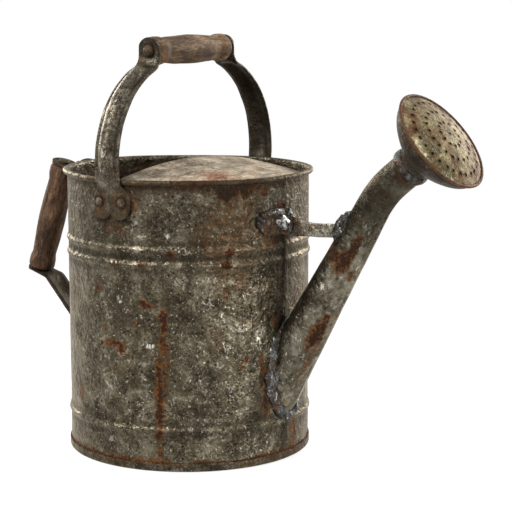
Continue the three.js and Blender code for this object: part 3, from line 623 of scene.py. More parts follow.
class Effects:
    """Shader node groups that several finishes share, each built once."""

    FLOAT = "NodeSocketFloat"
    COLOUR = "NodeSocketColor"
    VECTOR = "NodeSocketVector"

    def __init__(self) -> None:
        """Builds every group."""
        self.patina = self.make_patina()
        self.rust = self.make_rust()
        self.scuffs_and_glints = self.make_scuffs_and_glints()
        self.runs = self.make_runs()
        self.relief = self.make_relief()

    def start(self, name: str, inputs: dict[str, str]) -> tuple[Graph, dict[str, Socket]]:
        """Starts a group with its inputs.

        Args:
            name: Name of the effect.
            inputs: Socket types by name.

        Returns:
            The graph and its given values by name.
        """
        tree = bpy.data.node_groups.new(name, "ShaderNodeTree")
        for socket, kind in inputs.items():
            tree.interface.new_socket(socket, in_out="INPUT", socket_type=kind)
        graph = Graph(tree)
        given = graph.add("NodeGroupInput").outputs
        return graph, {socket: given[socket] for socket in inputs}

    def end(self, graph: Graph, outputs: dict[str, Socket]) -> Tree:
        """Gives a group its outputs.

        Args:
            graph: The group's graph.
            outputs: Values or colours by name.

        Returns:
            The group.
        """
        for name, value in outputs.items():
            kind = self.COLOUR if value.type == "RGBA" else self.FLOAT
            graph.tree.interface.new_socket(name, in_out="OUTPUT", socket_type=kind)
        graph.add("NodeGroupOutput", outputs)
        return graph.tree

    def make_patina(self) -> Tree:
        """Makes the cloudy tone of weathered metal, with dark specks and pale flecks.

        Returns:
            The group.
        """
        graph, given = self.start("patina", {"Vector": self.VECTOR, "Scale": self.FLOAT})
        place, scale = given["Vector"], given["Scale"]
        shift = {"Vector": place, "Location": (0.31, 0.17, 0.53)}
        elsewhere = graph.add("ShaderNodeMapping", shift).outputs["Vector"]
        broad = graph.noise(place, scale, 4.0, 0.62, 0.4)
        fine = graph.noise(place, graph.times(scale, 5.5), 7.0, 0.8)
        grain = graph.noise(elsewhere, graph.times(scale, 10.0), 3.0, 0.7)
        lulls = graph.between(graph.noise(elsewhere, graph.times(scale, 0.6), 3.0, 0.6), 0.42, 0.6)
        mottle = graph.between_values(graph.times(lulls, 0.6), graph.between_values(0.3, fine, grain), 0.5)
        dots = graph.cells(place, graph.times(scale, 4.6))
        chosen = graph.between(dots.outputs["Color"], 0.44, 0.5)
        gathered = graph.between(graph.noise(elsewhere, graph.times(scale, 1.3), 3.0, 0.6), 0.38, 0.56)
        pits = graph.math("MULTIPLY", graph.between(dots.outputs["Distance"], 0.34, 0.2), chosen)
        swing = graph.times(graph.math("SUBTRACT", grain, 0.5, False), 0.14)
        return self.end(graph, {
            "Tone": graph.math("ADD", graph.between_values(0.6, broad, mottle), swing),
            "Fine": fine,
            "Specks": graph.math("MULTIPLY", pits, gathered),
            "Flecks": graph.between(graph.noise(elsewhere, graph.times(scale, 7.0), 4.0, 0.7), 0.6, 0.67),
        })

    def make_rust(self) -> Tree:
        """Makes rust that breaks up at its edges: a wide brown stain, and a dark cover with orange blooms.

        Returns:
            The group.
        """
        graph, given = self.start("rust", {
            "Vector": self.VECTOR, "Mask": self.FLOAT, "Scale": self.FLOAT,
            "Dark": self.COLOUR, "Bright": self.COLOUR})
        place, scale, mask = given["Vector"], given["Scale"], given["Mask"]
        swing = graph.math("SUBTRACT", graph.noise(place, scale, 6.0, 0.78), 0.5, False)
        strength = graph.math("ADD", graph.times(swing, 2.6), mask, False)
        bloom = graph.between(graph.noise(place, graph.times(scale, 0.6), 4.0, 0.65), 0.42, 0.62)
        thin = graph.math("MULTIPLY", graph.between(strength, 1.0, 0.55), bloom)
        wide, dense = graph.between(strength, 0.0, 0.7), graph.between(strength, 0.38, 0.85)
        return self.end(graph, {
            "Stain": graph.math("MULTIPLY", wide, graph.between(mask, 0.02, 0.2)),
            "Cover": graph.math("MULTIPLY", dense, graph.between(mask, 0.14, 0.5)),
            "Tint": graph.blend(thin, given["Dark"], given["Bright"]),
        })

    def make_scuffs_and_glints(self) -> Tree:
        """Makes pale scrapes and painted glints: short broken strokes inside a mask.

        Returns:
            The group.
        """
        graph, given = self.start("scuffs_and_glints", {"Vector": self.VECTOR, "Mask": self.FLOAT})
        drawn = graph.stretched(given["Vector"], (300.0, 300.0, 130.0))
        swing = graph.math("SUBTRACT", graph.noise(drawn, 1.0, 5.0, 0.75, 0.8), 0.5, False)
        strength = graph.math("ADD", graph.times(swing, 2.2), given["Mask"], False)
        presence = graph.between(given["Mask"], 0.02, 0.15)
        cover = graph.math("MULTIPLY", graph.between(strength, 0.48, 0.82), presence)
        return self.end(graph, {"Cover": cover})

    def make_runs(self) -> Tree:
        """Makes streaks that water has left along a surface.

        Returns:
            The group.
        """
        graph, given = self.start("runs", {"Vector": self.VECTOR, "Stretch": self.VECTOR})
        streaks = graph.noise(graph.stretched(given["Vector"], given["Stretch"]), 1.0, 5.0, 0.7)
        return self.end(graph, {"Runs": graph.between(streaks, 0.5, 0.68)})

    def make_relief(self) -> Tree:
        """Makes the heights of a knocked sheet, wide hammered hollows and fine pits, and pale lines along the
        ridges between hollows that are partly worn metal and partly painted glints.

        Returns:
            The group.
        """
        graph, given = self.start("relief", {"Vector": self.VECTOR, "Scale": self.FLOAT})
        place, scale = given["Vector"], given["Scale"]
        swells = graph.noise(place, graph.times(scale, 0.2), 3.0, 0.55, 0.6)
        drift = {"Vector": place, "Scale": graph.times(scale, 0.25)}
        wander = graph.add("ShaderNodeTexNoise", drift).outputs["Color"]
        bent = graph.add("ShaderNodeMix", {0: 0.02, 4: place, 5: wander}, data_type="VECTOR").outputs[1]
        knock_scale = graph.times(scale, 0.26)
        craters = graph.cells(bent, knock_scale)
        borders = graph.cells(bent, knock_scale, "DISTANCE_TO_EDGE")
        rubbed_and_glinting = graph.between(graph.noise(place, graph.times(scale, 0.14), 5.0, 0.75), 0.54, 0.68)
        pits = graph.between(graph.cells(place, scale).outputs["Distance"], 0.05, 0.42)
        grain = graph.noise(place, scale, 5.0, 0.7)
        edges = graph.between(borders.outputs["Distance"], 0.13, 0.02)
        return self.end(graph, {
            "Hollows": graph.between_values(0.45, swells, craters.outputs["Distance"]),
            # pale ridge lines: painted glints along the dent edges, partly worn metal
            "RidgeRubAndGlint": graph.math("MULTIPLY", edges, rubbed_and_glinting),
            "Pits": graph.between_values(0.4, grain, pits),
        })


def new_material(name: str) -> tuple[Material, Graph]:
    """Makes an empty node material.

    Args:
        name: Name of the finish.

    Returns:
        The material and the graph of its nodes.
    """
    material = bpy.data.materials.new(name)
    material.use_nodes = True
    material.node_tree.nodes.clear()
    return material, Graph(material.node_tree)


@dataclass(frozen=True)
class MetalFinish:
    """Weathered metal: three tones, rust, pale scrapes and painted glints, dark dirt and painted shade, and a
    knocked surface.
    """

    name: str
    dark: Colour
    middle: Colour
    light: Colour
    scale: float = 55.0
    tone_stops: Triple = (0.41, 0.5, 0.585)
    smoothest: float = 0.3
    roughest: float = 0.62
    metallic: float = 0.45
    sheen: float = 0.22
    gloss_tint: Colour = linear(255, 246, 232)
    stain: Colour = linear(82, 57, 31)
    stain_share: float = 0.7
    rust_dark: Colour = linear(40, 21, 11)
    rust_bright: Colour = linear(138, 80, 22)
    rust_scale: float = 380.0
    scuff_and_glint_colour: Colour = linear(196, 191, 176)
    grime_and_shade_colour: Colour = linear(30, 25, 18)
    grime_and_shade_share: float = 0.85
    grime_and_shade_rough: float = 0.7
    rust_rough: float = 0.85
    rust_metallic: float = 0.05
    speck_share: float = 0.95
    fleck_share: float = 0.6
    ridge_rub_and_glint_share: float = 0.42
    run_share: float = 0.32
    run_stretch: Triple = (110.0, 110.0, 9.0)
    hollow_depth: float = 2.8
    pit_depth: float = 0.45
    pit_scale: float = 420.0

    def build(self, effects: Effects) -> Material:
        """Builds the material.

        Args:
            effects: The shared effects.

        Returns:
            The finished material.
        """
        material, graph = new_material(self.name)
        place = graph.add("ShaderNodeTexCoord").outputs["Object"]
        patina = graph.effect(effects.patina, {"Vector": place, "Scale": self.scale})
        runs = graph.effect(effects.runs, {"Vector": place, "Stretch": self.run_stretch})["Runs"]
        rust = graph.effect(effects.rust, {
            "Vector": place, "Mask": graph.mask(Wear.RUST), "Scale": self.rust_scale,
            "Dark": self.rust_dark, "Bright": self.rust_bright})
        scuff_and_glint = graph.effect(effects.scuffs_and_glints, {"Vector": place, "Mask": graph.mask(Wear.SCUFF_AND_GLINT)})["Cover"]
        relief = graph.effect(effects.relief, {"Vector": place, "Scale": self.pit_scale})
        grime_and_shade = graph.times(graph.mask(Wear.GRIME_AND_SHADE), self.grime_and_shade_share)

        tones = zip(self.tone_stops, (self.dark, self.middle, self.light))
        colour = graph.ramp(patina["Tone"], list(tones))
        colour = graph.blend(graph.times(runs, self.run_share), colour, self.dark)
        colour = graph.blend(graph.times(patina["Flecks"], self.fleck_share), colour, self.scuff_and_glint_colour)
        # pale ridge lines: painted glints along the dent edges, partly worn metal
        colour = graph.blend(graph.times(relief["RidgeRubAndGlint"], self.ridge_rub_and_glint_share), colour, self.scuff_and_glint_colour)
        colour = graph.blend(graph.times(rust["Stain"], self.stain_share), colour, self.stain)
        colour = graph.blend(graph.times(patina["Specks"], self.speck_share), colour, self.grime_and_shade_colour)
        colour = graph.blend(rust["Cover"], colour, rust["Tint"])
        # dark mask: dirt, and painted shade where a piece's masks put it
        colour = graph.blend(grime_and_shade, colour, self.grime_and_shade_colour)
        # pale mask: scrapes, and painted glints and highlights where a piece's masks put them
        colour = graph.blend(scuff_and_glint, colour, self.scuff_and_glint_colour)

        rough = graph.between_values(patina["Fine"], self.smoothest, self.roughest)
        rough = graph.between_values(graph.times(grime_and_shade, 0.8), rough, self.grime_and_shade_rough)
        rough = graph.between_values(rust["Cover"], rough, self.rust_rough)
        metal = graph.between_values(rust["Cover"], self.metallic, self.rust_metallic)
        pits = graph.between_values(graph.times(rust["Cover"], 0.4), relief["Pits"], patina["Fine"])
        hammered = graph.add("ShaderNodeBump", {
            "Strength": 1.0, "Distance": self.hollow_depth * MM, "Height": relief["Hollows"]})
        pitted = graph.add("ShaderNodeBump", {
            "Strength": 0.8, "Distance": self.pit_depth * MM, "Height": pits,
            "Normal": hammered.outputs["Normal"]})
        shader = graph.add("ShaderNodeBsdfPrincipled", {
            "Base Color": colour,
            "Roughness": rough,
            "Metallic": metal,
            "Specular IOR Level": self.sheen,
            "Specular Tint": self.gloss_tint,
            "Normal": pitted.outputs["Normal"],
        })
        graph.add("ShaderNodeOutputMaterial", {"Surface": shader.outputs["BSDF"]})
        return material


@dataclass(frozen=True)
class WoodFinish:
    """Weathered turned wood with its grain along the piece's own Z."""

    name: str
    dark: Colour = linear(44, 31, 21)
    middle: Colour = linear(95, 74, 54)
    light: Colour = linear(150, 125, 97)
    soot: Colour = linear(24, 17, 12)
    warm: Colour = linear(158, 112, 70)
    tone_stops: Triple = (0.405, 0.5, 0.6)
    fibre_stretch: Triple = (760.0, 760.0, 150.0)
    band_stretch: Triple = (75.0, 75.0, 24.0)
    crack_stretch: Triple = (330.0, 330.0, 9.0)
    speck_scale: float = 40.0
    warm_share: float = 0.34
    speck_share: float = 0.35
    crack_share: float = 0.55
    grime_and_shade_share: float = 0.85
    fibre_depth: float = 0.35

    def build(self, effects: Effects) -> Material:
        """Builds the material.

        Args:
            effects: The shared effects.

        Returns:
            The finished material.
        """
        material, graph = new_material(self.name)
        place = graph.add("ShaderNodeTexCoord").outputs["Object"]
        fibres = graph.noise(graph.stretched(place, self.fibre_stretch), 1.0, 6.0, 0.75, 0.3)
        bands = graph.noise(graph.stretched(place, self.band_stretch), 1.0, 3.0, 0.55, 0.6)
        splits = graph.noise(graph.stretched(place, self.crack_stretch), 1.0, 3.0, 0.6)
        cracks = graph.between(splits, 0.6, 0.7)
        patina = graph.effect(effects.patina, {"Vector": place, "Scale": self.speck_scale})
        tones = zip(self.tone_stops, (self.dark, self.middle, self.light))
        colour = graph.ramp(graph.between_values(0.45, fibres, bands), list(tones))
        colour = graph.blend(graph.times(graph.mask(Wear.RUST), self.warm_share), colour, self.warm)
        colour = graph.blend(graph.times(patina["Specks"], self.speck_share), colour, self.soot)
        colour = graph.blend(graph.times(cracks, self.crack_share), colour, self.soot)
        colour = graph.blend(graph.times(graph.mask(Wear.GRIME_AND_SHADE), self.grime_and_shade_share), colour, self.soot)
        relief = graph.between_values(cracks, fibres, 0.0)
        bump = graph.add("ShaderNodeBump", {
            "Strength": 0.6, "Distance": self.fibre_depth * MM, "Height": relief})
        shader = graph.add("ShaderNodeBsdfPrincipled", {
            "Base Color": colour,
            "Roughness": graph.between_values(fibres, 0.62, 0.88),
            "Specular IOR Level": 0.2,
            "Normal": bump.outputs["Normal"],
        })
        graph.add("ShaderNodeOutputMaterial", {"Surface": shader.outputs["BSDF"]})
        return material


# The can's pieces

@dataclass
class CanSizes:
    """Sizes that the sub-assemblies share."""

    can_radius: float = 110.0
    can_height: float = 256.0
    sheet: float = 0.9
    clearance: float = 0.3
    curl_hollow: float = 1.6
    spout_end_radius: float = 15.0

    @property
    def curl_radius(self) -> float:
        """Outer radius of the rolled rim's section."""
        return self.curl_hollow + self.sheet

    def on_wall(self, around: Array, height: Array) -> Array:
        """Gives the plain wall's points at angles and heights."""
        flat = [self.can_radius * np.cos(around), self.can_radius * np.sin(around), height]
        return np.stack(flat, axis=-1)


@dataclass
class CanBody(CanSizes):
    """The rolled wall with its wired rim, swages and side seam, and the pan under it."""

    swage_heights: tuple[float, ...] = (36.0, 181.5, 194.5)
    swage_height: float = 9.0
    swage_proud: float = 1.5
    curl_turn: float = 280.0
    seam_angle: float = -2.6
    seam_width: float = 6.0
    seam_proud: float = 0.8
    skirt_height: float = 8.0
    columns: int = 284
    curl_rows: int = 16
    stains: tuple[Stain, ...] = (
        *stains_of(Wear.RUST, (
            (-64.5, 134.0, 5.5, 15.0, 1.0), (-65.8, 112.0, 3.4, 18.0, 0.8), (-66.8, 62.0, 5.0, 58.0, 0.9),
            (-66.8, 22.0, 3.4, 25.0, 0.62), (-63.0, 98.0, 2.6, 26.0, 0.62), (-99.5, 158.0, 4.2, 3.6, 1.0),
            (-74.0, 148.0, 4.4, 4.4, 1.0), (-70.5, 146.5, 5.0, 2.4, 0.8), (-90.0, 110.5, 18.0, 4.0, 0.8),
            (-97.5, 109.5, 4.0, 4.5, 0.95), (-86.0, 107.0, 4.6, 5.5, 0.95), (-95.0, 124.0, 2.6, 4.0, 0.85),
            (-79.0, 130.0, 2.6, 2.6, 0.9), (-61.5, 191.5, 6.0, 5.0, 0.95), (-74.5, 182.0, 4.0, 3.4, 0.8),
            (-36.5, 182.0, 7.0, 4.6, 0.95), (-35.0, 193.0, 5.0, 7.0, 0.9), (-26.5, 98.0, 2.4, 3.2, 0.85),
            (-28.5, 91.0, 2.4, 2.4, 0.8), (-30.0, 246.0, 30.0, 9.0, 0.8), (-37.0, 243.0, 11.0, 8.0, 0.95),
            (-16.0, 243.0, 5.0, 5.0, 0.85), (-35.0, 205.0, 34.0, 62.0, 0.4),
            (-89.0, 233.0, 26.0, 19.0, 0.6), (-88.0, 213.0, 15.0, 9.0, 0.42), (-79.3, 234.0, 3.4, 6.0, 1.0),
            (-12.0, 203.0, 20.0, 15.0, 0.6), (-5.0, 229.0, 10.0, 5.0, 0.85), (4.0, 24.0, 9.0, 20.0, 0.55),
            (-15.5, 62.0, 6.0, 30.0, 0.55), (-17.9, 82.0, 2.6, 24.0, 0.8), (-16.0, 54.0, 4.0, 16.0, 0.85),
            (-9.0, 127.0, 6.0, 8.0, 0.8), (14.0, 135.0, 24.0, 130.0, 0.24), (-115.0, 60.0, 8.0, 10.0, 0.5),
            (150.0, 60.0, 9.0, 40.0, 0.7), (60.0, 150.0, 6.0, 60.0, 0.7), (105.0, 232.0, 24.0, 18.0, 0.6),
            (180.0, 66.0, 26.0, 20.0, 0.6), (180.0, 233.0, 26.0, 18.0, 0.6), (38.0, 236.0, 18.0, 12.0, 0.8),
            (-150.0, 190.0, 12.0, 9.0, 0.7),
        )),
        *stains_of(Wear.SCUFF_AND_GLINT, (
            (-63.0, 208.0, 5.0, 4.0, 0.55), (-71.5, 111.0, 9.0, 3.6, 0.8), (-38.0, 137.0, 7.0, 6.0, 0.56),
            (-86.0, 152.0, 5.0, 6.0, 0.66), (-27.0, 153.0, 7.0, 7.0, 0.58), (-36.0, 110.0, 9.0, 9.0, 0.45),
            (-20.0, 112.0, 7.0, 14.0, 0.5), (-81.0, 99.0, 8.0, 8.0, 0.4), (-27.0, 66.0, 26.0, 22.0, 0.24),
            (-80.0, 57.0, 26.0, 26.0, 0.24), (-54.5, 47.0, 14.0, 10.0, 0.28),
            (30.0, 120.0, 30.0, 30.0, 0.26), (120.0, 90.0, 30.0, 30.0, 0.26),
            (-160.0, 130.0, 24.0, 24.0, 0.26),
        )),
        # dark patches: the pair at 218.5 mm is painted shadow under the lobes of the bail's foot, the one at
        # -5.0 degrees and 199.5 mm is painted shadow under the brace, the one at -6.5 degrees and 130 mm is
        # painted shade in the crevice above the spout, and the long one at -4.0 degrees is partly painted
        # shadow below the brace and partly a dark stain
        *stains_of(Wear.GRIME_AND_SHADE, (
            (-36.0, 245.0, 20.0, 8.0, 0.2), (-6.5, 130.0, 7.0, 15.0, 1.0), (-96.5, 218.5, 11.0, 3.4, 0.9),
            (-83.5, 218.5, 11.0, 3.4, 0.9), (-4.0, 172.0, 14.0, 44.0, 0.85), (-5.0, 199.5, 14.0, 8.0, 1.0),
            (-17.5, 145.0, 3.0, 4.0, 1.0), (-47.5, 54.0, 8.0, 7.0, 0.7), (-44.0, 85.0, 12.0, 9.0, 0.5),
            (-2.6, 24.0, 4.0, 22.0, 0.8), (-20.0, 60.0, 12.0, 28.0, 0.5),
        )),
    )
    dents: tuple[Dent, ...] = (
        Dent(-119.0, 152.0, 22.0, 2.4),
        Dent(-114.0, 118.0, 17.0, 1.8),
        Dent(-17.5, 145.0, 4.0, 1.3),
        Dent(-38.0, 137.0, 9.0, 0.9),
        Dent(-27.0, 153.0, 8.0, 0.8),
        Dent(-36.0, 112.0, 10.0, 0.8),
        Dent(-50.0, 152.0, 9.0, 0.7),
        Dent(-70.0, 60.0, 16.0, 0.9),
        Dent(40.0, 110.0, 20.0, 1.6),
        Dent(140.0, 140.0, 24.0, 2.0),
        Dent(170.0, 30.0, 14.0, 1.2),
    )
    chance_dents: int = 110
    chance_seed: int = 7
    chance_heights: tuple[float, float] = (16.0, 238.0)
    chance_reach: tuple[float, float] = (4.0, 10.0)
    chance_depth: tuple[float, float] = (-0.25, 0.6)
    row_step: float = 2.1
    swage_rows: int = 13
    seam_columns: tuple[float, ...] = (2.0, 2.7, 3.1, 3.5, 4.2)
    seam_clear: float = 5.0
    mouth_passes: int = 5
    rim_sway: float = 0.5
    rim_sway_reach: float = 40.0
    rim_rust_heading: float = -40.0
    groove_offset: float = 6.0
    pan_corner: float = 1.4
    pan_sides: int = 240

    @property
    def curl_height(self) -> float:
        """Height of the middle of the rolled rim."""
        return self.can_height - self.curl_radius

    def all_dents(self) -> list[Dent]:
        """Adds small chance knocks all round to the dents that are placed.

        Returns:
            All dents of the wall.
        """
        chance = np.random.default_rng(self.chance_seed)
        knocks = list(self.dents)
        for _ in range(self.chance_dents):
            around, along = chance.uniform(-180.0, 180.0), chance.uniform(*self.chance_heights)
            reach, depth = chance.uniform(*self.chance_reach), chance.uniform(*self.chance_depth)
            knocks.append(Dent(around, along, reach, depth))
        return knocks

    def column_angles(self) -> Array:
        """Spaces the columns, closer together at the seam.

        Returns:
            Angles in radians.
        """
        even = np.linspace(-math.pi, math.pi, self.columns, endpoint=False)
        seam = math.radians(self.seam_angle)
        steps = np.array(self.seam_columns) / self.can_radius
        clear = even[np.abs(even - seam) > self.seam_clear / self.can_radius]
        return np.sort(np.concatenate([clear, seam - steps, seam + steps]))

    def row_heights(self) -> Array:
        """Spaces the wall's rows, closer together at the swages.

        Returns:
            Heights.
        """
        even = np.arange(self.sheet + self.clearance, self.curl_height, self.row_step)
        middles = np.array(self.swage_heights)
        near = middles[:, None] + np.linspace(-0.5, 0.5, self.swage_rows) * self.swage_height
        away = np.abs(even[:, None] - middles).min(axis=1) > 0.6 * self.swage_height
        return np.sort(np.concatenate([even[away], near.ravel(), [self.curl_height]]))

    def wall_radius(self, height: Array) -> Array:
        """Reads the wall's outer radius with its rounded swages.

        Args:
            height: Heights.

        Returns:
            Radius at each height.
        """
        radius = np.full(np.shape(height), self.can_radius)
        for middle in self.swage_heights:
            share = np.clip(np.abs(height - middle) / (0.5 * self.swage_height), 0.0, 1.0)
            radius = radius + self.swage_proud * np.cos(share * math.pi / 2.0) ** 2
        return radius

    def knocked(self, around: Array, height: Array) -> Array:
        """Works out the sheet's waves and knocks, which end below the rim and above the skirt.

        Args:
            around: Angles round the can.
            height: Heights.

        Returns:
            Distance outward.
        """
        flat = self.on_wall(around, height)
        quiet = fall(self.curl_height - 14.0, self.curl_height - 2.0, height)
        quiet = quiet * smooth(self.skirt_height, self.skirt_height + 10.0, height)
        waves = layered(flat, (0.28, 26.0, 1), (0.16, 11.0, 2), (0.07, 5.0, 3))
        return (waves - Unrolled(around, height, self.can_radius).knocks(self.all_dents())) * quiet

    def seam_lift(self, around: Array, height: Array) -> Array:
        """Works out how far the locked side seam stands out.

        Args:
            around: Angles round the can.
            height: Heights.

        Returns:
            Distance outward.
        """
        across, _ = Unrolled(around, height, self.can_radius).offset(self.seam_angle, 0.0)
        half = 0.5 * self.seam_width
        seam = self.seam_proud * fall(half - 0.5, half + 0.4, np.abs(across))
        seam = seam * smooth(self.skirt_height, self.skirt_height + 1.0, height)
        return seam * fall(self.curl_height - 6.0, self.curl_height - 4.0, height)

    def with_rim(self, around: Array, radius: Array, height: Array, rim_turn: Array, curl: float) -> Array:
        """Places one face of the wall and of the rim rolled above it.

        Args:
            around: Angles of the wall's rows and the rim's rows.
            radius: Radii of the wall's rows.
            height: Heights of the wall's rows.
            rim_turn: Angles of the rim's rows round the wire.
            curl: Radius of the rim's face round the wire.

        Returns:
            Points, with the rim's slight sway.
        """
        reach = np.concatenate([radius, self.can_radius + self.curl_hollow + curl * np.cos(rim_turn)])
        level = np.concatenate([height, self.curl_height + curl * np.sin(rim_turn)])
        sway = np.sin(2.0 * around + 0.6) + 0.5 * np.sin(5.0 * around)
        lift = self.rim_sway * smooth(self.can_height - self.rim_sway_reach, self.can_height, level) * sway
        return np.stack([reach * np.cos(around), reach * np.sin(around), level + lift], axis=-1)

    def build_wall(self, spout: "Spout") -> Surface:
        """Builds the wall with its rim, seam, knocks and the spout's mouth.

        Args:
            spout: The spout whose bore opens the wall.

        Returns:
            The closed sheet with its wear.
        """
        angles = self.column_angles()
        around, height = np.meshgrid(angles, self.row_heights())
        mouth = spout.mouth_gap(around, height)[0] < 0.0
        for _ in range(self.mouth_passes):
            gap, slope_around, slope_up = spout.mouth_gap(around, height)
            inside = gap < 0.0
            steep = np.maximum(slope_around**2 + slope_up**2, 1e-6)
            around = np.where(inside, around - gap * slope_around / steep / self.can_radius, around)
            height = np.where(inside, height - gap * slope_up / steep, height)
        pairs = mouth & np.roll(mouth, -1, axis=1)
        rim_kept = np.zeros((self.curl_rows, len(angles)), bool)
        removed = np.concatenate([pairs[:-1] & pairs[1:], rim_kept])

        radius = self.wall_radius(height) + self.knocked(around, height)
        rim_angle = math.pi - np.radians(self.curl_turn) * np.arange(1, self.curl_rows + 1) / self.curl_rows
        rim_around, rim_turn = np.meshgrid(angles, rim_angle)
        all_around = np.concatenate([around, rim_around])
        outside = radius + self.seam_lift(around, height)
        outer = self.with_rim(all_around, outside, height, rim_turn, self.curl_hollow)
        inner = self.with_rim(all_around, radius - self.sheet, height, rim_turn, self.curl_radius)
        return shell(outer, inner, True, *self.wall_wear_and_shading(outer, inner, all_around), removed)

    def wall_wear_and_shading(self, outer: Array, inner: Array, around: Array) -> tuple[Masks, Masks, Masks]:
        """Places rust, pale scrapes with painted highlights on the swages, and dark dirt with painted shade
        beside the swages and under the rim, on both faces of the wall.

        Args:
            outer: Points of the outer face.
            inner: Points of the inner face.
            around: Their angles.

        Returns:
            Rust, pale scrapes with painted highlights, and dark dirt with painted shade, each of the outer
            and the inner face.
        """
        height = outer[..., 2]
        unrolled = Unrolled(around, height, self.can_radius)
        clouds = layered(outer, (1.0, 30.0, 21), (0.6, 12.0, 22))
        front = 0.5 + 0.5 * np.cos(around - math.radians(self.rim_rust_heading))
        at_rim = smooth(self.can_height - 6.0, self.can_height - 3.0, height)
        under_rim = smooth(self.can_height - 16.0, self.can_height - 7.0, height) * (1.0 - at_rim)
        upper = smooth(196.0, 214.0, height) * (1.0 - at_rim)
        crease = fall(1.5, 5.0, np.abs(height - self.skirt_height - 0.5))
        off_swages = [np.abs(height - middle) for middle in self.swage_heights]
        swages = sum(fall(1.0, 4.0, off) for off in off_swages)
        grooves = sum(fall(1.0, 4.0, np.abs(off - self.groove_offset)) for off in off_swages)
        rust, scuff_and_glint, grime_and_shade = unrolled.masks(self.stains, outer)
        for more in (0.62 * crease * smooth(-0.9, 0.4, clouds), at_rim * front**2 * (1.1 + 0.3 * clouds),
                     under_rim * front * (0.42 + 0.2 * clouds), 0.22 * smooth(0.1, 1.0, clouds)):
            rust = np.maximum(rust, more)
        # painted highlight: a pale line along the crest of each swage
        scuff_and_glint = scuff_and_glint + 0.2 * swages * smooth(-0.2, 0.8, -clouds)
        # painted shade: dark lines in the creases beside each swage
        grime_and_shade = grime_and_shade + 0.42 * grooves + 0.25 * smooth(0.2, 1.2, -clouds)
        # under_rim darkens a band under the rolled rim: painted shade there, with some dirt; upper darkens
        # the wall towards the top
        grime_and_shade = grime_and_shade + 0.45 * under_rim**2 + 0.34 * upper + 0.25 * at_rim * front**2
        inside = np.full(height.shape, 0.62) + 0.2 * value_noise(inner, 30.0, 31)
        inside = inside * (1.0 - at_rim) + at_rim * (0.14 + 0.56 * front**2)
        rust_inside = (0.34 + 0.25 * value_noise(inner, 22.0, 32)) * (1.0 - at_rim)
        rust_inside = rust_inside + at_rim * front**2 * (0.46 + 0.45 * clouds)
        return (rust, rust_inside), (scuff_and_glint, 0.14 * at_rim * (1.0 - front)), (grime_and_shade, inside)

    def build_pan(self) -> Surface:
        """Builds the bottom pan with its rounded foot and low skirt.

        Returns:
            The pan with its wear.
        """
        seat = self.can_radius + self.clearance
        outer = seat + self.sheet
        corner, top = self.pan_corner, self.skirt_height
        arc = np.linspace(-math.pi / 2.0, 0.0, 6)
        foot = [[outer - corner + corner * math.cos(turn), corner + corner * math.sin(turn)] for turn in arc]
        floor = [[0.0, 0.0], [outer * 0.5, 0.0], [outer * 0.9, 0.0]]
        skirt = [[outer, height] for height in np.linspace(2.4, top - 0.5, 5)]
        lip = [[outer - 0.25, top - 0.1], [seat + 0.2, top], [seat, top - 0.2]]
        inside = [[seat, self.sheet + 1.2], [seat - 1.2, self.sheet], [outer * 0.5, self.sheet],
                  [0.0, self.sheet]]
        surface = lathe([*floor, *foot, *skirt, *lip, *inside], self.pan_sides)
        points = surface.points
        turn = np.arctan2(points[:, 1], points[:, 0])
        at_skirt = np.hypot(points[:, 0], points[:, 1]) > 0.95 * outer
        push = 0.25 * value_noise(points, 17.0, 5) * smooth(2.0, top, points[:, 2]) * at_skirt
        points[:, 0] += push * np.cos(turn)
        points[:, 1] += push * np.sin(turn)
        patches = 0.45 + layered(points, (0.5, 24.0, 41), (0.3, 7.0, 42))
        front_right = np.exp(-((turn - 0.1) ** 2) / 0.18)
        lip_line = smooth(top - 1.6, top - 0.6, points[:, 2])
        rust = np.maximum(0.35 * patches, 0.5 * front_right) + lip_line * (0.45 + 0.4 * patches)
        return surface.worn(rust, 0.12, 0.35 + 0.3 * value_noise(points, 14.0, 43))


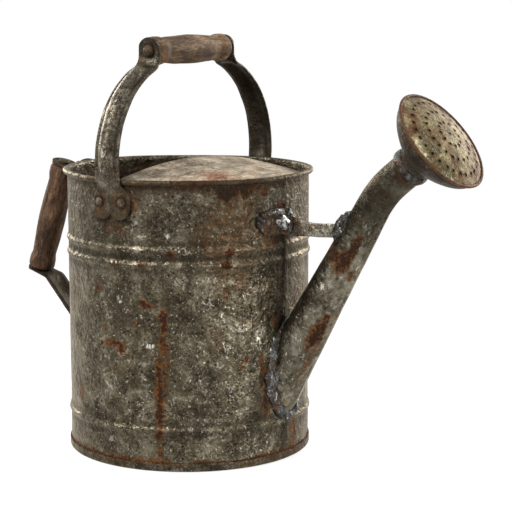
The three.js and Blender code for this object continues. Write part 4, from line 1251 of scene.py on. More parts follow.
@dataclass
class SplashCover(CanSizes):
    """The half cover, straight from its free edge to the wall and arched from side to side."""

    facet_share: float = math.cos(math.pi / 36.0)
    edge: float = 3.0
    sink: float = 3.0
    arch: float = 12.0
    droop: float = 0.147
    lip: float = 6.0
    hem: float = 1.6
    sweep: float = 83.0
    columns: int = 121
    rows: int = 56
    lip_rows: tuple[float, ...] = (0.12, 0.5, 1.0)

    def build(self) -> Surface:
        """Builds the cover with a turned-down hem, a lip at the wall and slight warps.

        Returns:
            The closed sheet with its wear.
        """
        reach = (self.can_radius - self.sheet) * self.facet_share - self.clearance
        angle = np.radians(np.linspace(-self.sweep, self.sweep, self.columns))
        side, wall = reach * np.sin(angle), reach * np.cos(angle)
        crown = self.can_height - self.sink + self.arch * (1.0 - (side / reach) ** 2)
        share = np.linspace(0.0, 1.0, self.rows)[:, None]
        x = self.edge + share * (wall - self.edge)
        y = np.broadcast_to(side, x.shape)
        flat = np.stack([x, y, np.zeros(x.shape)], axis=-1)
        still = smooth(0.0, 0.08, share) * fall(0.9, 1.0, share)
        warp = layered(flat, (0.7, 34.0, 51), (0.35, 13.0, 52), (0.12, 6.0, 53))
        z = crown - self.droop * x + warp * still
        top = np.stack([x, y, z], axis=-1)
        hem = np.stack([np.full(side.shape, self.edge), side, z[0] - self.hem], axis=-1)[None]
        lips = np.stack([np.stack([wall, side, z[-1] - self.lip * part], axis=-1) for part in self.lip_rows])
        outer = np.concatenate([hem, top, lips])
        inner = outer.copy()
        inner[1:-3, :, 2] -= self.sheet
        inner[1, :, 0] += self.sheet
        inner[0, :, 0] += self.sheet
        shrink = (wall - self.sheet) / np.maximum(wall, self.sheet)
        inner[-4:, :, 0] = np.maximum(outer[-4:, :, 0] * shrink, self.edge + self.sheet)
        inner[-3, :, 2] = np.minimum(inner[-3, :, 2], inner[-4, :, 2] - 0.1)
        return shell(outer, inner, False, *self.wear(outer, reach))

    def wear(self, outer: Array, reach: float) -> tuple[Masks, Masks, Masks]:
        """Places rust, pale scrapes and dark dirt on both faces of the cover.

        Args:
            outer: Points of the upper face.
            reach: Distance from the can's axis to the wall.

        Returns:
            Rust, pale scrapes and dark dirt, each of the upper and the lower face.
        """
        x, y = outer[..., 0], outer[..., 1]
        clouds = layered(outer, (1.0, 22.0, 54), (0.5, 8.0, 55))
        at_edge = fall(self.edge + 1.0, self.edge + 7.0, x)
        at_wall = smooth(0.0, 10.0, 14.0 - (reach - np.hypot(x, y)))
        patch = np.exp(-(((x - 62.0) / 20.0) ** 2) - (((y + 40.0) / 16.0) ** 2))
        front = hill(y, -45.0, 60.0) * smooth(20.0, 90.0, x)
        rust = np.maximum(0.85 * patch, 0.75 * at_wall * front)
        rust = np.maximum(np.maximum(0.35 * smooth(0.2, 1.2, clouds), rust), 0.3 * at_edge)
        grime_and_shade = 0.3 * at_wall + 0.42 * smooth(0.1, 1.0, -clouds) + 0.4 * at_edge
        dark = np.full(rust.shape, 0.75)
        return (rust, 0.5 * dark), (0.12 + 0.1 * clouds, 0.0 * dark), (grime_and_shade, dark)


@dataclass
class ChannelStrap(CanSizes):
    """A channel strap: two-lobed foot bent to the wall, half-round run with flanges, round tab."""

    width: float = 26.0
    thickness: float = 2.2
    dome_share: float = 0.7
    foot_width: float = 40.0
    foot_height: float = 29.0
    foot_notch: float = 35.0
    tab_radius: float = 12.0
    tab_lip: float = 0.7
    rivet_mark: float = 15.0
    rivet_side: float = 12.0
    columns: int = 69
    rows: int = 190

    @property
    def wall(self) -> float:
        """Radius of the foot's inner face."""
        return self.can_radius + self.clearance

    def build(self, path: Path, tab_mark: float, dome: float, heading: float, seed: int) -> Surface:
        """Sweeps the strap along a path.

        Args:
            path: Inner face from the foot's low edge: distance from the can's axis, and height.
            tab_mark: Distance along the path to the middle of the tab.
            dome: Height of the half-round crown.
            heading: Degrees round the can.
            seed: Picks the knocks.

        Returns:
            The closed strap with its wear, painted shade and a painted highlight.
        """
        share = np.linspace(-1.0, 1.0, self.columns)
        foot_half = 0.5 * self.foot_width
        lobe = foot_half / (1.0 + math.cos(math.radians(self.foot_notch)))
        low = lobe - np.sqrt(np.maximum(lobe**2 - (np.abs(share) * foot_half - foot_half + lobe) ** 2, 0.0))
        high = tab_mark + self.tab_radius * np.sqrt(np.maximum(1.0 - share**2, 0.0))
        rise = np.linspace(0.0, 1.0, self.rows)[:, None]
        mark = low + rise * (high - low)
        foot_top = self.foot_height
        half = foot_half + (0.5 * self.width - foot_half) * smooth(foot_top - 11.0, foot_top + 3.0, mark)
        half = half + (self.tab_radius - half) * smooth(tab_mark - 26.0, tab_mark - 6.0, mark)
        side = share * half
        middle, along = path.at(mark), path.heading(mark)
        outward = np.stack([along[..., 1], -along[..., 0]], axis=-1)
        fade = smooth(foot_top - 2.0, foot_top + 20.0, mark)
        fade = fade * fall(tab_mark - 30.0, tab_mark - 11.0, mark)
        arch = np.maximum(1.0 - (share / self.dome_share) ** 2, 0.0) ** 0.9
        flange = 0.6 * smooth(0.76, 0.94, np.abs(share))
        place = np.stack([mark, side + 500.0 * seed, 0.0 * mark], axis=-1)
        knocks = layered(place, (0.3, 16.0, 61), (0.14, 6.0, 62)) * fade
        head_gap = np.hypot(mark - tab_mark, side)
        at_tab = smooth(tab_mark - 26.0, tab_mark - 8.0, mark)
        tab_out = np.where(mark > tab_mark, head_gap / self.tab_radius, np.abs(share))
        lip = self.tab_lip * at_tab * smooth(0.8, 0.93, tab_out)
        base = dome * arch * fade + math.copysign(1.0, dome) * (flange * fade + lip) + knocks
        thick = self.thickness * (1.0 - 0.5 * smooth(0.9, 1.0, np.abs(share)))
        wrap = fall(foot_top - 4.0, foot_top + 14.0, mark)
        sag = wrap * (self.wall - np.sqrt(self.wall**2 - side**2))
        faces = []
        for lift in (base + thick, base):
            spot = middle + outward * lift[..., None]
            faces.append(turned(np.stack([spot[..., 0] - sag, side, spot[..., 1]], axis=-1), heading))
        clouds = layered(place, (1.0, 14.0, 63), (0.6, 5.0, 64))
        edges = smooth(0.72, 0.98, np.abs(share)) + 0.0 * mark
        groove = fade * hill(np.abs(share), self.dome_share, 0.08)
        rivet_gap = np.hypot(mark - self.rivet_mark, np.abs(side) - self.rivet_side)
        at_foot = fall(foot_top - 6.0, foot_top + 8.0, mark)
        low_edge = fall(1.0, 8.0, mark - low)
        rivet_rust = at_foot * hill(rivet_gap, 6.2, 2.6)
        rust = np.maximum(0.14 * at_foot + 0.2 * low_edge + 0.42 * rivet_rust, 0.14 * at_tab)
        rust = rust + 0.08 * edges + 0.18 * clouds
        # painted highlight: a pale band along the crown of the strap's run
        scuff_and_glint = (0.36 + 0.24 * clouds) * fade * fall(0.05, 0.5, np.abs(share))
        # edges darkens the flanges, partly dirt and partly painted shade
        grime_and_shade = 0.3 * edges + 0.26 * at_tab + 0.24 * at_foot - 0.1 * clouds
        # painted shade: a dark line in the groove beside the crown and a dark ring round each rivet head
        grime_and_shade = grime_and_shade + 0.85 * groove + 0.8 * hill(rivet_gap, 5.0, 1.3)
        # painted shadow: a dark ring round the rod's head on the tab
        grime_and_shade = grime_and_shade + 0.9 * hill(head_gap, 6.4, 1.5) + 0.4 * low_edge
        return shell(faces[0], faces[1], False, (rust, 0.22 + 0.2 * clouds), (scuff_and_glint, 0.0 * scuff_and_glint),
                     (grime_and_shade, 0.86 + 0.15 * clouds))


@dataclass
class Handles(CanSizes):
    """The bail over the mouth and the rear handle: straps, turning wooden grips, headed rods and rivets."""

    foot_drop: float = 36.0
    rivet_drop: float = 21.0
    rivet_spacing: float = 24.0
    grip_length: float = 107.0
    running_gap: float = 0.4
    bail_rise: float = 106.5
    bail_shoulder: float = 11.0
    bail_bend: float = 8.0
    bail_end_slope: float = 20.0
    bail_sweep: float = 72.0
    bail_dome: float = 5.5
    rear_reach: float = 56.0
    rear_drop: float = 59.0
    rear_tilt: float = 17.4
    rear_lower_drop: float = 64.0
    rear_dome: float = 3.0
    strap_bend: float = 6.6
    belly_radius: float = 13.0
    neck_radius: float = 11.2
    knob_radius: float = 12.6
    knob_length: float = 15.0
    rod_radius: float = 3.0
    rod_head_radius: float = 5.4
    rod_head_height: float = 3.2
    rod_sides: int = 28
    grip_sides: int = 96
    grip_rows: int = 60
    knob_rows: int = 26
    clinch_radius: float = 108.39
    rivet_shank: float = 2.0
    rivet_sides: int = 24
    bend_passes: int = 14
    rear_bend_passes: int = 10
    strap: ChannelStrap = field(default_factory=ChannelStrap)

    @property
    def bead_radius(self) -> float:
        """Outer radius of the can's rolled rim."""
        return self.can_radius + 2.0 * self.curl_radius - self.sheet

    @property
    def grip_end(self) -> float:
        """Distance from a grip's middle to the face of its tab."""
        return 0.5 * self.grip_length + self.running_gap

    @property
    def grip_height(self) -> float:
        """Height of the top grip's axis."""
        return self.can_height + self.bail_rise

    @property
    def rear_middle(self) -> tuple[float, float]:
        """Distance from the can's axis and height of the rear grip's middle."""
        return self.can_radius + self.rear_reach, self.can_height - self.rear_drop

    @property
    def lower_foot_top(self) -> float:
        """Height of the top of the rear handle's lower foot."""
        half = 0.5 * self.grip_length * math.cos(math.radians(self.rear_tilt))
        return self.rear_middle[1] - half - self.rear_lower_drop

    def bail_leg(self, heading: float, seed: int) -> Surface:
        """Builds one leg of the bail.

        Args:
            heading: Degrees round the can.
            seed: Picks the knocks.

        Returns:
            The leg.
        """
        strap = self.strap
        wall = self.bead_radius + 2.0 * self.clearance
        shoulder = self.can_height + self.bail_shoulder
        end_slope, sweep = math.radians(self.bail_end_slope), math.radians(self.bail_sweep)
        bend_height = self.grip_height - strap.tab_radius + 0.5 * self.bail_bend
        end_radius = self.grip_end + self.bail_bend * (1.0 - math.sin(end_slope))
        end_height = bend_height - self.bail_bend * math.cos(end_slope)
        width = (wall - end_radius) / (1.0 - math.cos(sweep))
        rise = (end_height - shoulder) / math.sin(sweep)
        arc = [[wall - width * (1.0 - math.cos(turn)), shoulder + rise * math.sin(turn)]
               for turn in np.linspace(0.0, sweep, 40)]
        corners = [
            [strap.wall, self.can_height - self.foot_drop],
            [strap.wall, self.can_height - 4.0 * self.curl_radius],
            [wall, self.can_height - 2.0 * self.curl_radius],
            *arc,
            [self.grip_end, bend_height],
            [self.grip_end, self.grip_height + strap.tab_radius + 1.0],
        ]
        path = Path(corners, self.bend_passes)
        tab_mark = path.nearest_mark([self.grip_end, self.grip_height])
        return strap.build(path, tab_mark, self.bail_dome, heading, seed)

    def rear_strap(self, upper: bool, seed: int) -> Surface:
        """Builds one strap of the rear handle.

        Args:
            upper: Whether it is the strap at the grip's top.
            seed: Picks the knocks.

        Returns:
            The strap.
        """
        strap = self.strap
        tilt = math.radians(self.rear_tilt)
        axis = np.array([-math.sin(tilt), math.cos(tilt)])
        across = np.array([math.cos(tilt), math.sin(tilt)])
        face = self.grip_end + strap.thickness if upper else -self.grip_end
        tab = np.array(self.rear_middle) + axis * face
        foot_top = self.can_height - self.foot_drop + strap.foot_height if upper else self.lower_foot_top
        if upper:
            passing = [[self.bead_radius + 2.0 * self.clearance, self.can_height - 2.0 * self.curl_radius],
                       [self.bead_radius + self.strap_bend, self.can_height]]
        else:
            passing = [[strap.wall + self.strap_bend, foot_top + self.strap_bend]]
        corners = [
            [strap.wall, foot_top - strap.foot_height],
            [strap.wall, foot_top - self.strap_bend],
            *passing,
            *[(tab - across * share * strap.tab_radius).tolist() for share in (1.5, 0.9, 0.0, -1.1)],
        ]
        path = Path(corners, self.rear_bend_passes)
        dome = -self.rear_dome if upper else self.rear_dome
        return strap.build(path, path.nearest_mark(tab), dome, 180.0, seed)

    def rivet(self, degrees: float, height: float, seed: int) -> Surface:
        """Builds one rivet through a foot and the wall.

        Args:
            degrees: Its angle round the can.
            height: Its height.
            seed: Picks its unevenness.

        Returns:
            The rivet.
        """
        seat = self.strap.wall + self.strap.thickness + self.clearance
        clinch, shank = self.clinch_radius, self.rivet_shank
        tail = [[0.0, clinch - 1.4], [2.2, clinch - 1.2], [3.4, clinch - 0.3], [3.3, clinch], [shank, clinch]]
        head = [[shank, seat], [3.7, seat], [3.75, seat + 0.5], [3.4, seat + 1.3], [2.5, seat + 2.0],
                [1.3, seat + 2.35], [0.0, seat + 2.4]]
        surface = lathe([*tail, *head], self.rivet_sides)
        uneven = 1.0 + 0.07 * value_noise(surface.points + 40.0 * seed, 4.0, 71)
        surface.points[:, :2] *= uneven[:, None]
        x, y, z = surface.points.T
        surface.points = turned(np.stack([z, y, height - x], axis=-1), degrees)
        return surface.worn(0.06 + 0.2 * value_noise(surface.points, 5.0, 72), 0.3, 0.1)

    def rivets(self) -> tuple[Surface, Surface]:
        """Builds all rivets.

        Returns:
            The bail's rivets and the rear handle's rivets, each set as one surface.
        """
        half = math.degrees(0.5 * self.rivet_spacing / (self.strap.wall + self.strap.thickness))
        upper = self.can_height - self.rivet_drop
        lower = self.lower_foot_top - self.rivet_drop + self.foot_drop - self.strap.foot_height
        sets = []
        for feet in (((-90.0, upper), (90.0, upper)), ((180.0, upper), (180.0, lower))):
            places = [(heading + side, height) for heading, height in feet for side in (-half, half)]
            joined = self.rivet(*places[0], 0)
            for seed, place in enumerate(places[1:], start=1):
                joined = joined.joined(self.rivet(*place, seed))
            sets.append(joined)
        return sets[0], sets[1]

    def grip(self, seed: int) -> Surface:
        """Builds a turned grip about its own Z, with open grain.

        Args:
            seed: Picks the grain.

        Returns:
            The grip.
        """
        half = 0.5 * self.grip_length
        neck = half - self.knob_length
        knobs = np.linspace(neck, half, self.knob_rows)
        marks = np.unique(np.concatenate([np.linspace(-neck, neck, self.grip_rows), knobs, -knobs]))
        out = np.abs(marks)
        belly = (self.belly_radius - self.neck_radius) * np.cos(np.clip(out / neck, 0.0, 1.0) * math.pi / 2.0)
        knob = (self.knob_radius - self.neck_radius) * smooth(neck - 2.0, neck + 7.0, out)
        radius = self.neck_radius + belly + knob
        corner = np.clip((out - (half - 4.0)) / 4.0, 0.0, 1.0)
        radius = radius - 3.0 * (1.0 - np.sqrt(1.0 - corner**2))
        bore = self.rod_radius + self.running_gap
        ends = [[0.6 * radius[-1], half], [bore, half], [bore, -half], [0.6 * radius[0], -half]]
        surface = lathe([*zip(radius, marks), *ends], self.grip_sides, closed=True)
        points = surface.points
        turn = np.arctan2(points[:, 1], points[:, 0])
        reach = np.hypot(points[:, 0], points[:, 1])
        skin = smooth(bore + 1.0, bore + 4.0, reach)
        fibre = np.stack([8.0 * np.cos(turn), 8.0 * np.sin(turn), points[:, 2] / 26.0 + 50.0 * seed], axis=-1)
        grain = 0.06 * value_noise(fibre, 0.9, 81) - 0.16 * smooth(0.45, 0.8, value_noise(fibre, 1.3, 82))
        knocks = 0.22 * value_noise(points + 90.0 * seed, 11.0, 83)
        scale = 1.0 + skin * (grain + knocks) / np.maximum(reach, 1.0)
        points[:, :2] *= scale[:, None]
        at_end = smooth(neck - 2.0, half, np.abs(points[:, 2]))
        handled = hill(np.abs(points[:, 2]), 0.5 * neck, 9.0)
        clouds = smooth(-0.1, 0.8, value_noise(points + 90.0 * seed, 15.0, 84))
        warm = at_end * smooth(-0.6, 0.5, value_noise(points + 90.0 * seed, 7.0, 85))
        return surface.worn(warm, 0.0, 0.12 * at_end + (0.3 + 0.3 * handled) * clouds)

    def rod(self) -> Surface:
        """Builds a headed rod about its own Z.

        Returns:
            The rod.
        """
        seat = self.grip_end + self.strap.thickness + self.clearance
        head, tall = self.rod_head_radius, self.rod_head_height
        upper = [[self.rod_radius, seat], [head, seat], [head, seat + 0.45 * tall],
                 [0.9 * head, seat + 0.75 * tall], [0.62 * head, seat + 0.95 * tall], [0.0, seat + tall]]
        lower = [[radius, -height] for radius, height in reversed(upper)]
        surface = lathe([*lower, *upper], self.rod_sides)
        uneven = 1.0 + 0.04 * value_noise(surface.points, 5.0, 91)
        surface.points[:, :2] *= uneven[:, None]
        return surface.worn(0.36 + 0.25 * value_noise(surface.points, 4.0, 92), 0.0, 0.62)

    def top_matrix(self) -> Matrix:
        """Place of the top grip: its own Z along the can's Y."""
        return Matrix.Translation((0.0, 0.0, self.grip_height)) @ Matrix.Rotation(-math.pi / 2.0, 4, "X")

    def rear_matrix(self) -> Matrix:
        """Place of the rear grip: its own Z leaning toward the can."""
        lean = Matrix.Rotation(math.radians(self.rear_tilt), 4, "Y")
        return Matrix.Translation((-self.rear_middle[0], 0.0, self.rear_middle[1])) @ lean


@dataclass
class Spout(CanSizes):
    """The tapered, bent spout with its seam, the welds, and the brace to the body."""

    foot_height: float = 84.6
    foot_radius: float = 21.6
    slope: float = 59.8
    tip_rise: float = 19.0
    bend_radius: float = 95.0
    seam_proud: float = 0.8
    neck_length: float = 25.8
    neck_slope: float = 39.1
    weld_radius: float = 5.2
    weld_heavy_turn: float = math.radians(262.0)
    brace_drop: float = 46.0
    brace_thickness: float = 3.0
    brace_root_width: float = 18.0
    brace_tip_width: float = 12.0
    brace_foot_length: float = 38.0
    brace_weld_length: float = 30.0
    brace_weld_width: float = 12.0
    brace_foot_lift: float = 4.5
    brace_weld_turn: float = math.radians(-34.0)
    spatter: tuple[Spatter, ...] = (
        Spatter(-6.0, 2.0, 6.0, 0.66),
        Spatter(-9.0, 3.0, 4.6, 0.5),
        Spatter(-20.2, 3.0, 2.8, 0.3),
        Spatter(-19.6, 6.5, 3.2, 0.36),
        Spatter(-17.6, 9.4, 3.3, 0.2),
        Spatter(-15.2, 11.0, 3.0, 0.12),
        Spatter(-12.6, 11.8, 3.3, 0.3),
        Spatter(-9.8, 12.0, 3.1, 0.42),
        Spatter(-7.2, 11.4, 3.4, 0.36),
    )
    stains: tuple[Stain, ...] = (
        *stains_of(Wear.RUST, (
            (220.0, 50.0, 9.0, 19.0, 0.95), (214.0, 66.0, 5.0, 8.0, 0.8), (290.0, 121.0, 16.0, 8.0, 0.9),
            (252.0, 122.0, 9.0, 12.0, 0.95), (238.0, 134.0, 5.0, 20.0, 0.9), (206.0, 112.0, 5.0, 9.0, 0.6),
            (204.0, 34.0, 5.0, 44.0, 0.5), (240.0, 218.0, 10.0, 8.0, 0.6), (100.0, 80.0, 9.0, 30.0, 0.7),
            (20.0, 180.0, 10.0, 22.0, 0.6),
        )),
        # the pale patch at 250 degrees and 24 mm is a painted highlight on the tube near its foot
        *stains_of(Wear.SCUFF_AND_GLINT, (
            (268.0, 90.0, 3.6, 9.0, 0.75), (242.0, 3.0, 9.0, 14.0, 0.32), (250.0, 24.0, 8.0, 30.0, 0.36),
            (198.0, 104.0, 4.0, 46.0, 0.34),
        )),
        *stains_of(Wear.GRIME_AND_SHADE, (
            (300.0, 60.0, 7.0, 80.0, 0.4), (290.0, 170.0, 12.0, 40.0, 0.4),
        )),
    )
    dents: tuple[Dent, ...] = (
        Dent(224.0, 82.0, 7.0, 1.0),
        Dent(262.0, 92.0, 6.0, 0.9),
        Dent(230.0, 30.0, 8.0, 0.7),
        Dent(240.0, 150.0, 9.0, 0.6),
        Dent(110.0, 120.0, 12.0, 1.2),
    )
    tube_columns: int = 88
    tube_rows: int = 150
    weld_columns: int = 260
    weld_sides: int = 22
    brace_columns: int = 25
    brace_rows: int = 120
    lump_rows: int = 26
    lump_sides: int = 36
    search_steps: int = 40
    press_passes: int = 3
    press_gap: float = 0.05
    slope_step: float = 0.05

    def __post_init__(self) -> None:
        """Works out the centre line's lengths."""
        self.slope_angle, self.neck_angle = math.radians(self.slope), math.radians(self.neck_slope)
        bend_rise = self.bend_radius * (math.cos(self.neck_angle) - math.cos(self.slope_angle))
        neck_rise = self.neck_length * math.sin(self.neck_angle)
        rise = self.can_height + self.tip_rise - self.foot_height - bend_rise - neck_rise
        self.straight = rise / math.sin(self.slope_angle)
        self.bend = self.bend_radius * (self.slope_angle - self.neck_angle)
        self.length = self.straight + self.bend + self.neck_length

    @property
    def brace_height(self) -> float:
        """Height of the brace's middle."""
        return self.can_height - self.brace_drop

    def station(self, distance: Array) -> tuple[Array, Array, Array, Array]:
        """Reads the centre line.

        Args:
            distance: Distances from the foot.

        Returns:
            X, Z, slope angle and outer radius at each distance.
        """
        distance = np.asarray(distance, float)
        straight = np.minimum(distance, self.straight)
        bent = np.clip(distance - self.straight, 0.0, self.bend)
        neck = np.maximum(distance - self.straight - self.bend, 0.0)
        angle = self.slope_angle - bent / self.bend_radius
        across, rise = math.cos(self.slope_angle), math.sin(self.slope_angle)
        x = self.can_radius + straight * across + self.bend_radius * (rise - np.sin(angle))
        x = x + neck * math.cos(self.neck_angle)
        z = self.foot_height + straight * rise + self.bend_radius * (np.cos(angle) - across)
        z = z + neck * math.sin(self.neck_angle)
        radius = self.foot_radius + (self.spout_end_radius - self.foot_radius) * straight / self.straight
        return x, z, angle, radius

    def skin(self, distance: Array, turn: Array, grow: Array | float) -> Array:
        """Gives points on the tube's outside, moved out by a distance.

        Args:
            distance: Distances from the foot.
            turn: Angles round the tube, 0 on its upper side.
            grow: Distance outward.

        Returns:
            The points.
        """
        x, z, angle, radius = self.station(distance)
        reach = radius + grow
        return np.stack([x - reach * np.cos(turn) * np.sin(angle), reach * np.sin(turn),
                         z + reach * np.cos(turn) * np.cos(angle)], axis=-1)

    def foot_distance(self, turn: Array) -> Array:
        """Finds where each line of the tube meets the wall.

        Args:
            turn: Angles round the tube.

        Returns:
            Distances from the foot.
        """
        low = np.full(np.shape(turn), -2.0 * self.foot_radius)
        high = np.full(np.shape(turn), 3.0 * self.foot_radius)
        for _ in range(self.search_steps):
            middle = 0.5 * (low + high)
            point = self.skin(middle, turn, 0.0)
            inside = np.hypot(point[..., 0], point[..., 1]) < self.can_radius + self.clearance
            low, high = np.where(inside, middle, low), np.where(inside, high, middle)
        return low

    def axis_gap(self, points: Array) -> tuple[Array, Array]:
        """Measures points against the straight part of the tube.

        Args:
            points: Points to measure.

        Returns:
            Distance from the axis and the tube's outer radius there.
        """
        x, y, z = points[..., 0] - self.can_radius, points[..., 1], points[..., 2] - self.foot_height
        along = x * math.cos(self.slope_angle) + z * math.sin(self.slope_angle)
        off = np.sqrt(np.maximum(x**2 + y**2 + z**2 - along**2, 1e-9))
        return off, self.station(along)[3]

    def mouth_gap(self, around: Array, height: Array) -> tuple[Array, Array, Array]:
        """Measures the wall's points against the bore that opens it.

        Args:
            around: Angles round the can.
            height: Heights.

        Returns:
            Distance outside the bore, and its slopes across and up the wall.
        """
        def gap(angle: Array, level: Array) -> Array:
            """Gives the distance outside the bore."""
            off, radius = self.axis_gap(self.on_wall(angle, level))
            return off - radius + self.sheet

        step = self.slope_step
        here = gap(around, height)
        across = (gap(around + step / self.can_radius, height) - here) / step
        up = (gap(around, height + step) - here) / step
        return here, across, up

    def build_tube(self) -> Surface:
        """Builds the tube with its seam below and its knocks.

        Returns:
            The closed sheet with its wear and a painted highlight.
        """
        turn = whole_turn(self.tube_columns)
        start = self.foot_distance(turn)
        share = np.linspace(0.0, 1.0, self.tube_rows)[:, None]
        distance = start + share * (self.length - start)
        turns = np.broadcast_to(turn, distance.shape)
        flat = self.skin(distance, turns, 0.0)
        unrolled = Unrolled(turns, distance, self.station(distance)[3])
        push = layered(flat, (0.22, 17.0, 101), (0.1, 7.0, 102)) - unrolled.knocks(self.dents)
        push = push * fall(self.length - 30.0, self.length - 14.0, distance)
        across, _ = unrolled.offset(180.0, 0.0)
        seam_end = self.straight + self.bend
        seam = self.seam_proud * hill(across, 0.0, 1.7) * fall(seam_end - 20.0, seam_end, distance)
        outer = self.skin(distance, turns, push + seam)
        inner = self.skin(distance, turns, push - self.sheet)
        clouds = layered(flat, (1.0, 19.0, 103), (0.6, 8.0, 104))
        at_foot = 0.5 * fall(4.0, 16.0, distance - start) * smooth(-0.5, 0.5, clouds)
        rust, scuff_and_glint, grime_and_shade = unrolled.masks(self.stains, flat)
        rust = np.maximum(np.maximum(rust, 0.24 * smooth(0.1, 1.0, clouds)), at_foot)
        scuff_and_glint = scuff_and_glint + 0.1 * smooth(0.0, 1.0, -clouds)
        # darkens the tube towards its neck
        grime_and_shade = grime_and_shade + 0.2 * smooth(0.1, 1.0, -clouds) + 0.72 * smooth(100.0, 180.0, distance)
        dark = np.full(rust.shape, 0.6)
        return shell(outer, inner, True, (rust, dark), (scuff_and_glint, 0.0 * dark), (grime_and_shade, dark))

    def clear_of_can(self, points: Array) -> Array:
        """Presses points out of the wall and out of the tube.

        Args:
            points: Points to press.

        Returns:
            Points that lie outside.
        """
        direction = np.array([math.cos(self.slope_angle), 0.0, math.sin(self.slope_angle)])
        origin = np.array([self.can_radius, 0.0, self.foot_height])
        pressed = points.copy()
        for _ in range(self.press_passes):
            reach = np.hypot(pressed[..., 0], pressed[..., 1])
            grow = np.maximum((self.can_radius + self.clearance) / reach, 1.0)
            pressed[..., :2] *= grow[..., None]
            off, radius = self.axis_gap(pressed)
            along = (pressed - origin) @ direction
            foot = origin + along[..., None] * direction
            grow = np.maximum((radius + self.press_gap) / off, 1.0)
            pressed = foot + (pressed - foot) * grow[..., None]
        return pressed

    def build_weld(self) -> Surface:
        """Builds the lumpy bead of weld round the foot.

        Returns:
            The bead with its wear.
        """
        turn = whole_turn(self.weld_columns)
        line = self.skin(self.foot_distance(turn), turn, 0.0)
        along = np.roll(line, -1, axis=0) - np.roll(line, 1, axis=0)
        along /= np.linalg.norm(along, axis=1, keepdims=True)
        outward = line * np.array([1.0, 1.0, 0.0])
        outward /= np.linalg.norm(outward, axis=1, keepdims=True)
        outward -= (outward * along).sum(axis=1, keepdims=True) * along
        outward /= np.linalg.norm(outward, axis=1, keepdims=True)
        across = np.cross(along, outward)
        lump = 1.0 + layered(line, (0.34, 11.0, 111), (0.24, 5.0, 112))
        angle = whole_turn(self.weld_sides)[:, None, None]
        heavy = hill(np.remainder(turn, TURN), self.weld_heavy_turn, 0.8)
        tall = (self.weld_radius * (0.55 + 0.2 * heavy) * lump)[None, :, None]
        wide = (self.weld_radius * (0.6 + 1.0 * heavy) * lump)[None, :, None]
        ring = line[None] + tall * np.cos(angle) * outward[None] + wide * np.sin(angle) * across[None]
        crust = layered(ring, (1.1, 4.5, 113), (0.7, 2.4, 117))[..., None]
        ring += crust * (ring - line[None]) / self.weld_radius
        grid = np.transpose(self.clear_of_can(ring), (1, 0, 2))
        return self.weld_wear_and_glints(closed_ring(grid), 0.24)

    def weld_wear_and_glints(self, surface: Surface, bright: float) -> Surface:
        """Lays patchy rust and patchy dark dirt on a weld, and pale patches that are painted glints, with
        less rust where the glints are stronger.

        Args:
            surface: The weld.
            bright: Share of painted glints, which also lessens the rust.

        Returns:
            The same weld.
        """
        rust = max(0.16, 0.42 - 0.9 * bright) + 0.4 * value_noise(surface.points, 9.0, 114)
        # painted highlight: pale glints on the weld
        scuff_and_glint = bright + 0.42 * value_noise(surface.points, 4.5, 116)
        return surface.worn(rust, scuff_and_glint, 0.35 - 0.4 * value_noise(surface.points, 5.0, 115))

    def brace_line(self) -> tuple[Path, float]:
        """Draws the brace's middle line as seen from above.

        Returns:
            The line, and the distance along it where the spout begins.
        """
        middle = self.can_radius + self.clearance + 0.5 * self.brace_thickness
        sides = np.linspace(-self.brace_foot_length, -1.0, 24)
        foot = [[math.sqrt(middle**2 - side**2), side] for side in sides]
        touch = self.brace_touch()
        path = Path([*foot, [middle + 2.0, 0.0], [touch + 12.0, 0.0]], 12)
        return path, path.nearest_mark([touch, 0.0])

    def brace_touch(self) -> float:
        """Finds where the spout's upper side is at the brace's height.

        Returns:
            X of that place.
        """
        distance = (self.brace_height - self.foot_height) / math.sin(self.slope_angle)
        x, _, _, radius = self.station(np.array(distance))
        return float(x - radius / math.sin(self.slope_angle))

    def build_brace(self) -> Surface:
        """Builds the brace: a strip on edge whose rounded foot is bent along the wall.

        Returns:
            The closed strip with its wear and painted glints.
        """
        path, end = self.brace_line()
        root, tip = 0.5 * self.brace_root_width, 0.5 * self.brace_tip_width
        share = np.linspace(-1.0, 1.0, self.brace_columns)
        low = root - root * np.sqrt(np.maximum(1.0 - share**2, 0.0))
        high = end + share * tip / math.tan(self.slope_angle)
        mark = low + np.linspace(0.0, 1.0, self.brace_rows)[:, None] * (high - low)
        bend = self.brace_foot_length - 2.0
        half = root + (tip - root) * smooth(bend - 4.0, bend + 26.0, mark)
        foot_lift = self.brace_foot_lift * fall(bend - 16.0, bend + 8.0, mark)
        sag = 1.2 * np.sin(smooth(bend, end, mark) * math.pi)
        level = self.brace_height + share * half + foot_lift - sag
        middle, along = path.at(mark), path.heading(mark)
        outward = np.stack([along[..., 1], -along[..., 0]], axis=-1)
        place = np.stack([mark, level, 0.0 * mark], axis=-1)
        knocks = layered(place, (0.35, 9.0, 121), (0.15, 4.0, 122))
        knocks = knocks * smooth(bend - 6.0, bend + 6.0, mark)
        thick = 0.5 * self.brace_thickness * (1.0 - 0.35 * smooth(0.86, 1.0, np.abs(share)))
        faces = []
        for offset in (knocks + thick, knocks - thick):
            spot = middle + outward * offset[..., None]
            faces.append(np.stack([spot[..., 0], spot[..., 1], level], axis=-1))
        clouds = value_noise(place, 12.0, 123)
        at_foot = fall(bend - 6.0, bend + 12.0, mark)
        near_weld = hill(mark, bend + 9.0, 9.0)
        rust = 0.4 * at_foot + 0.14 + 0.25 * clouds + 0.5 * near_weld * smooth(-0.4, 0.6, share)
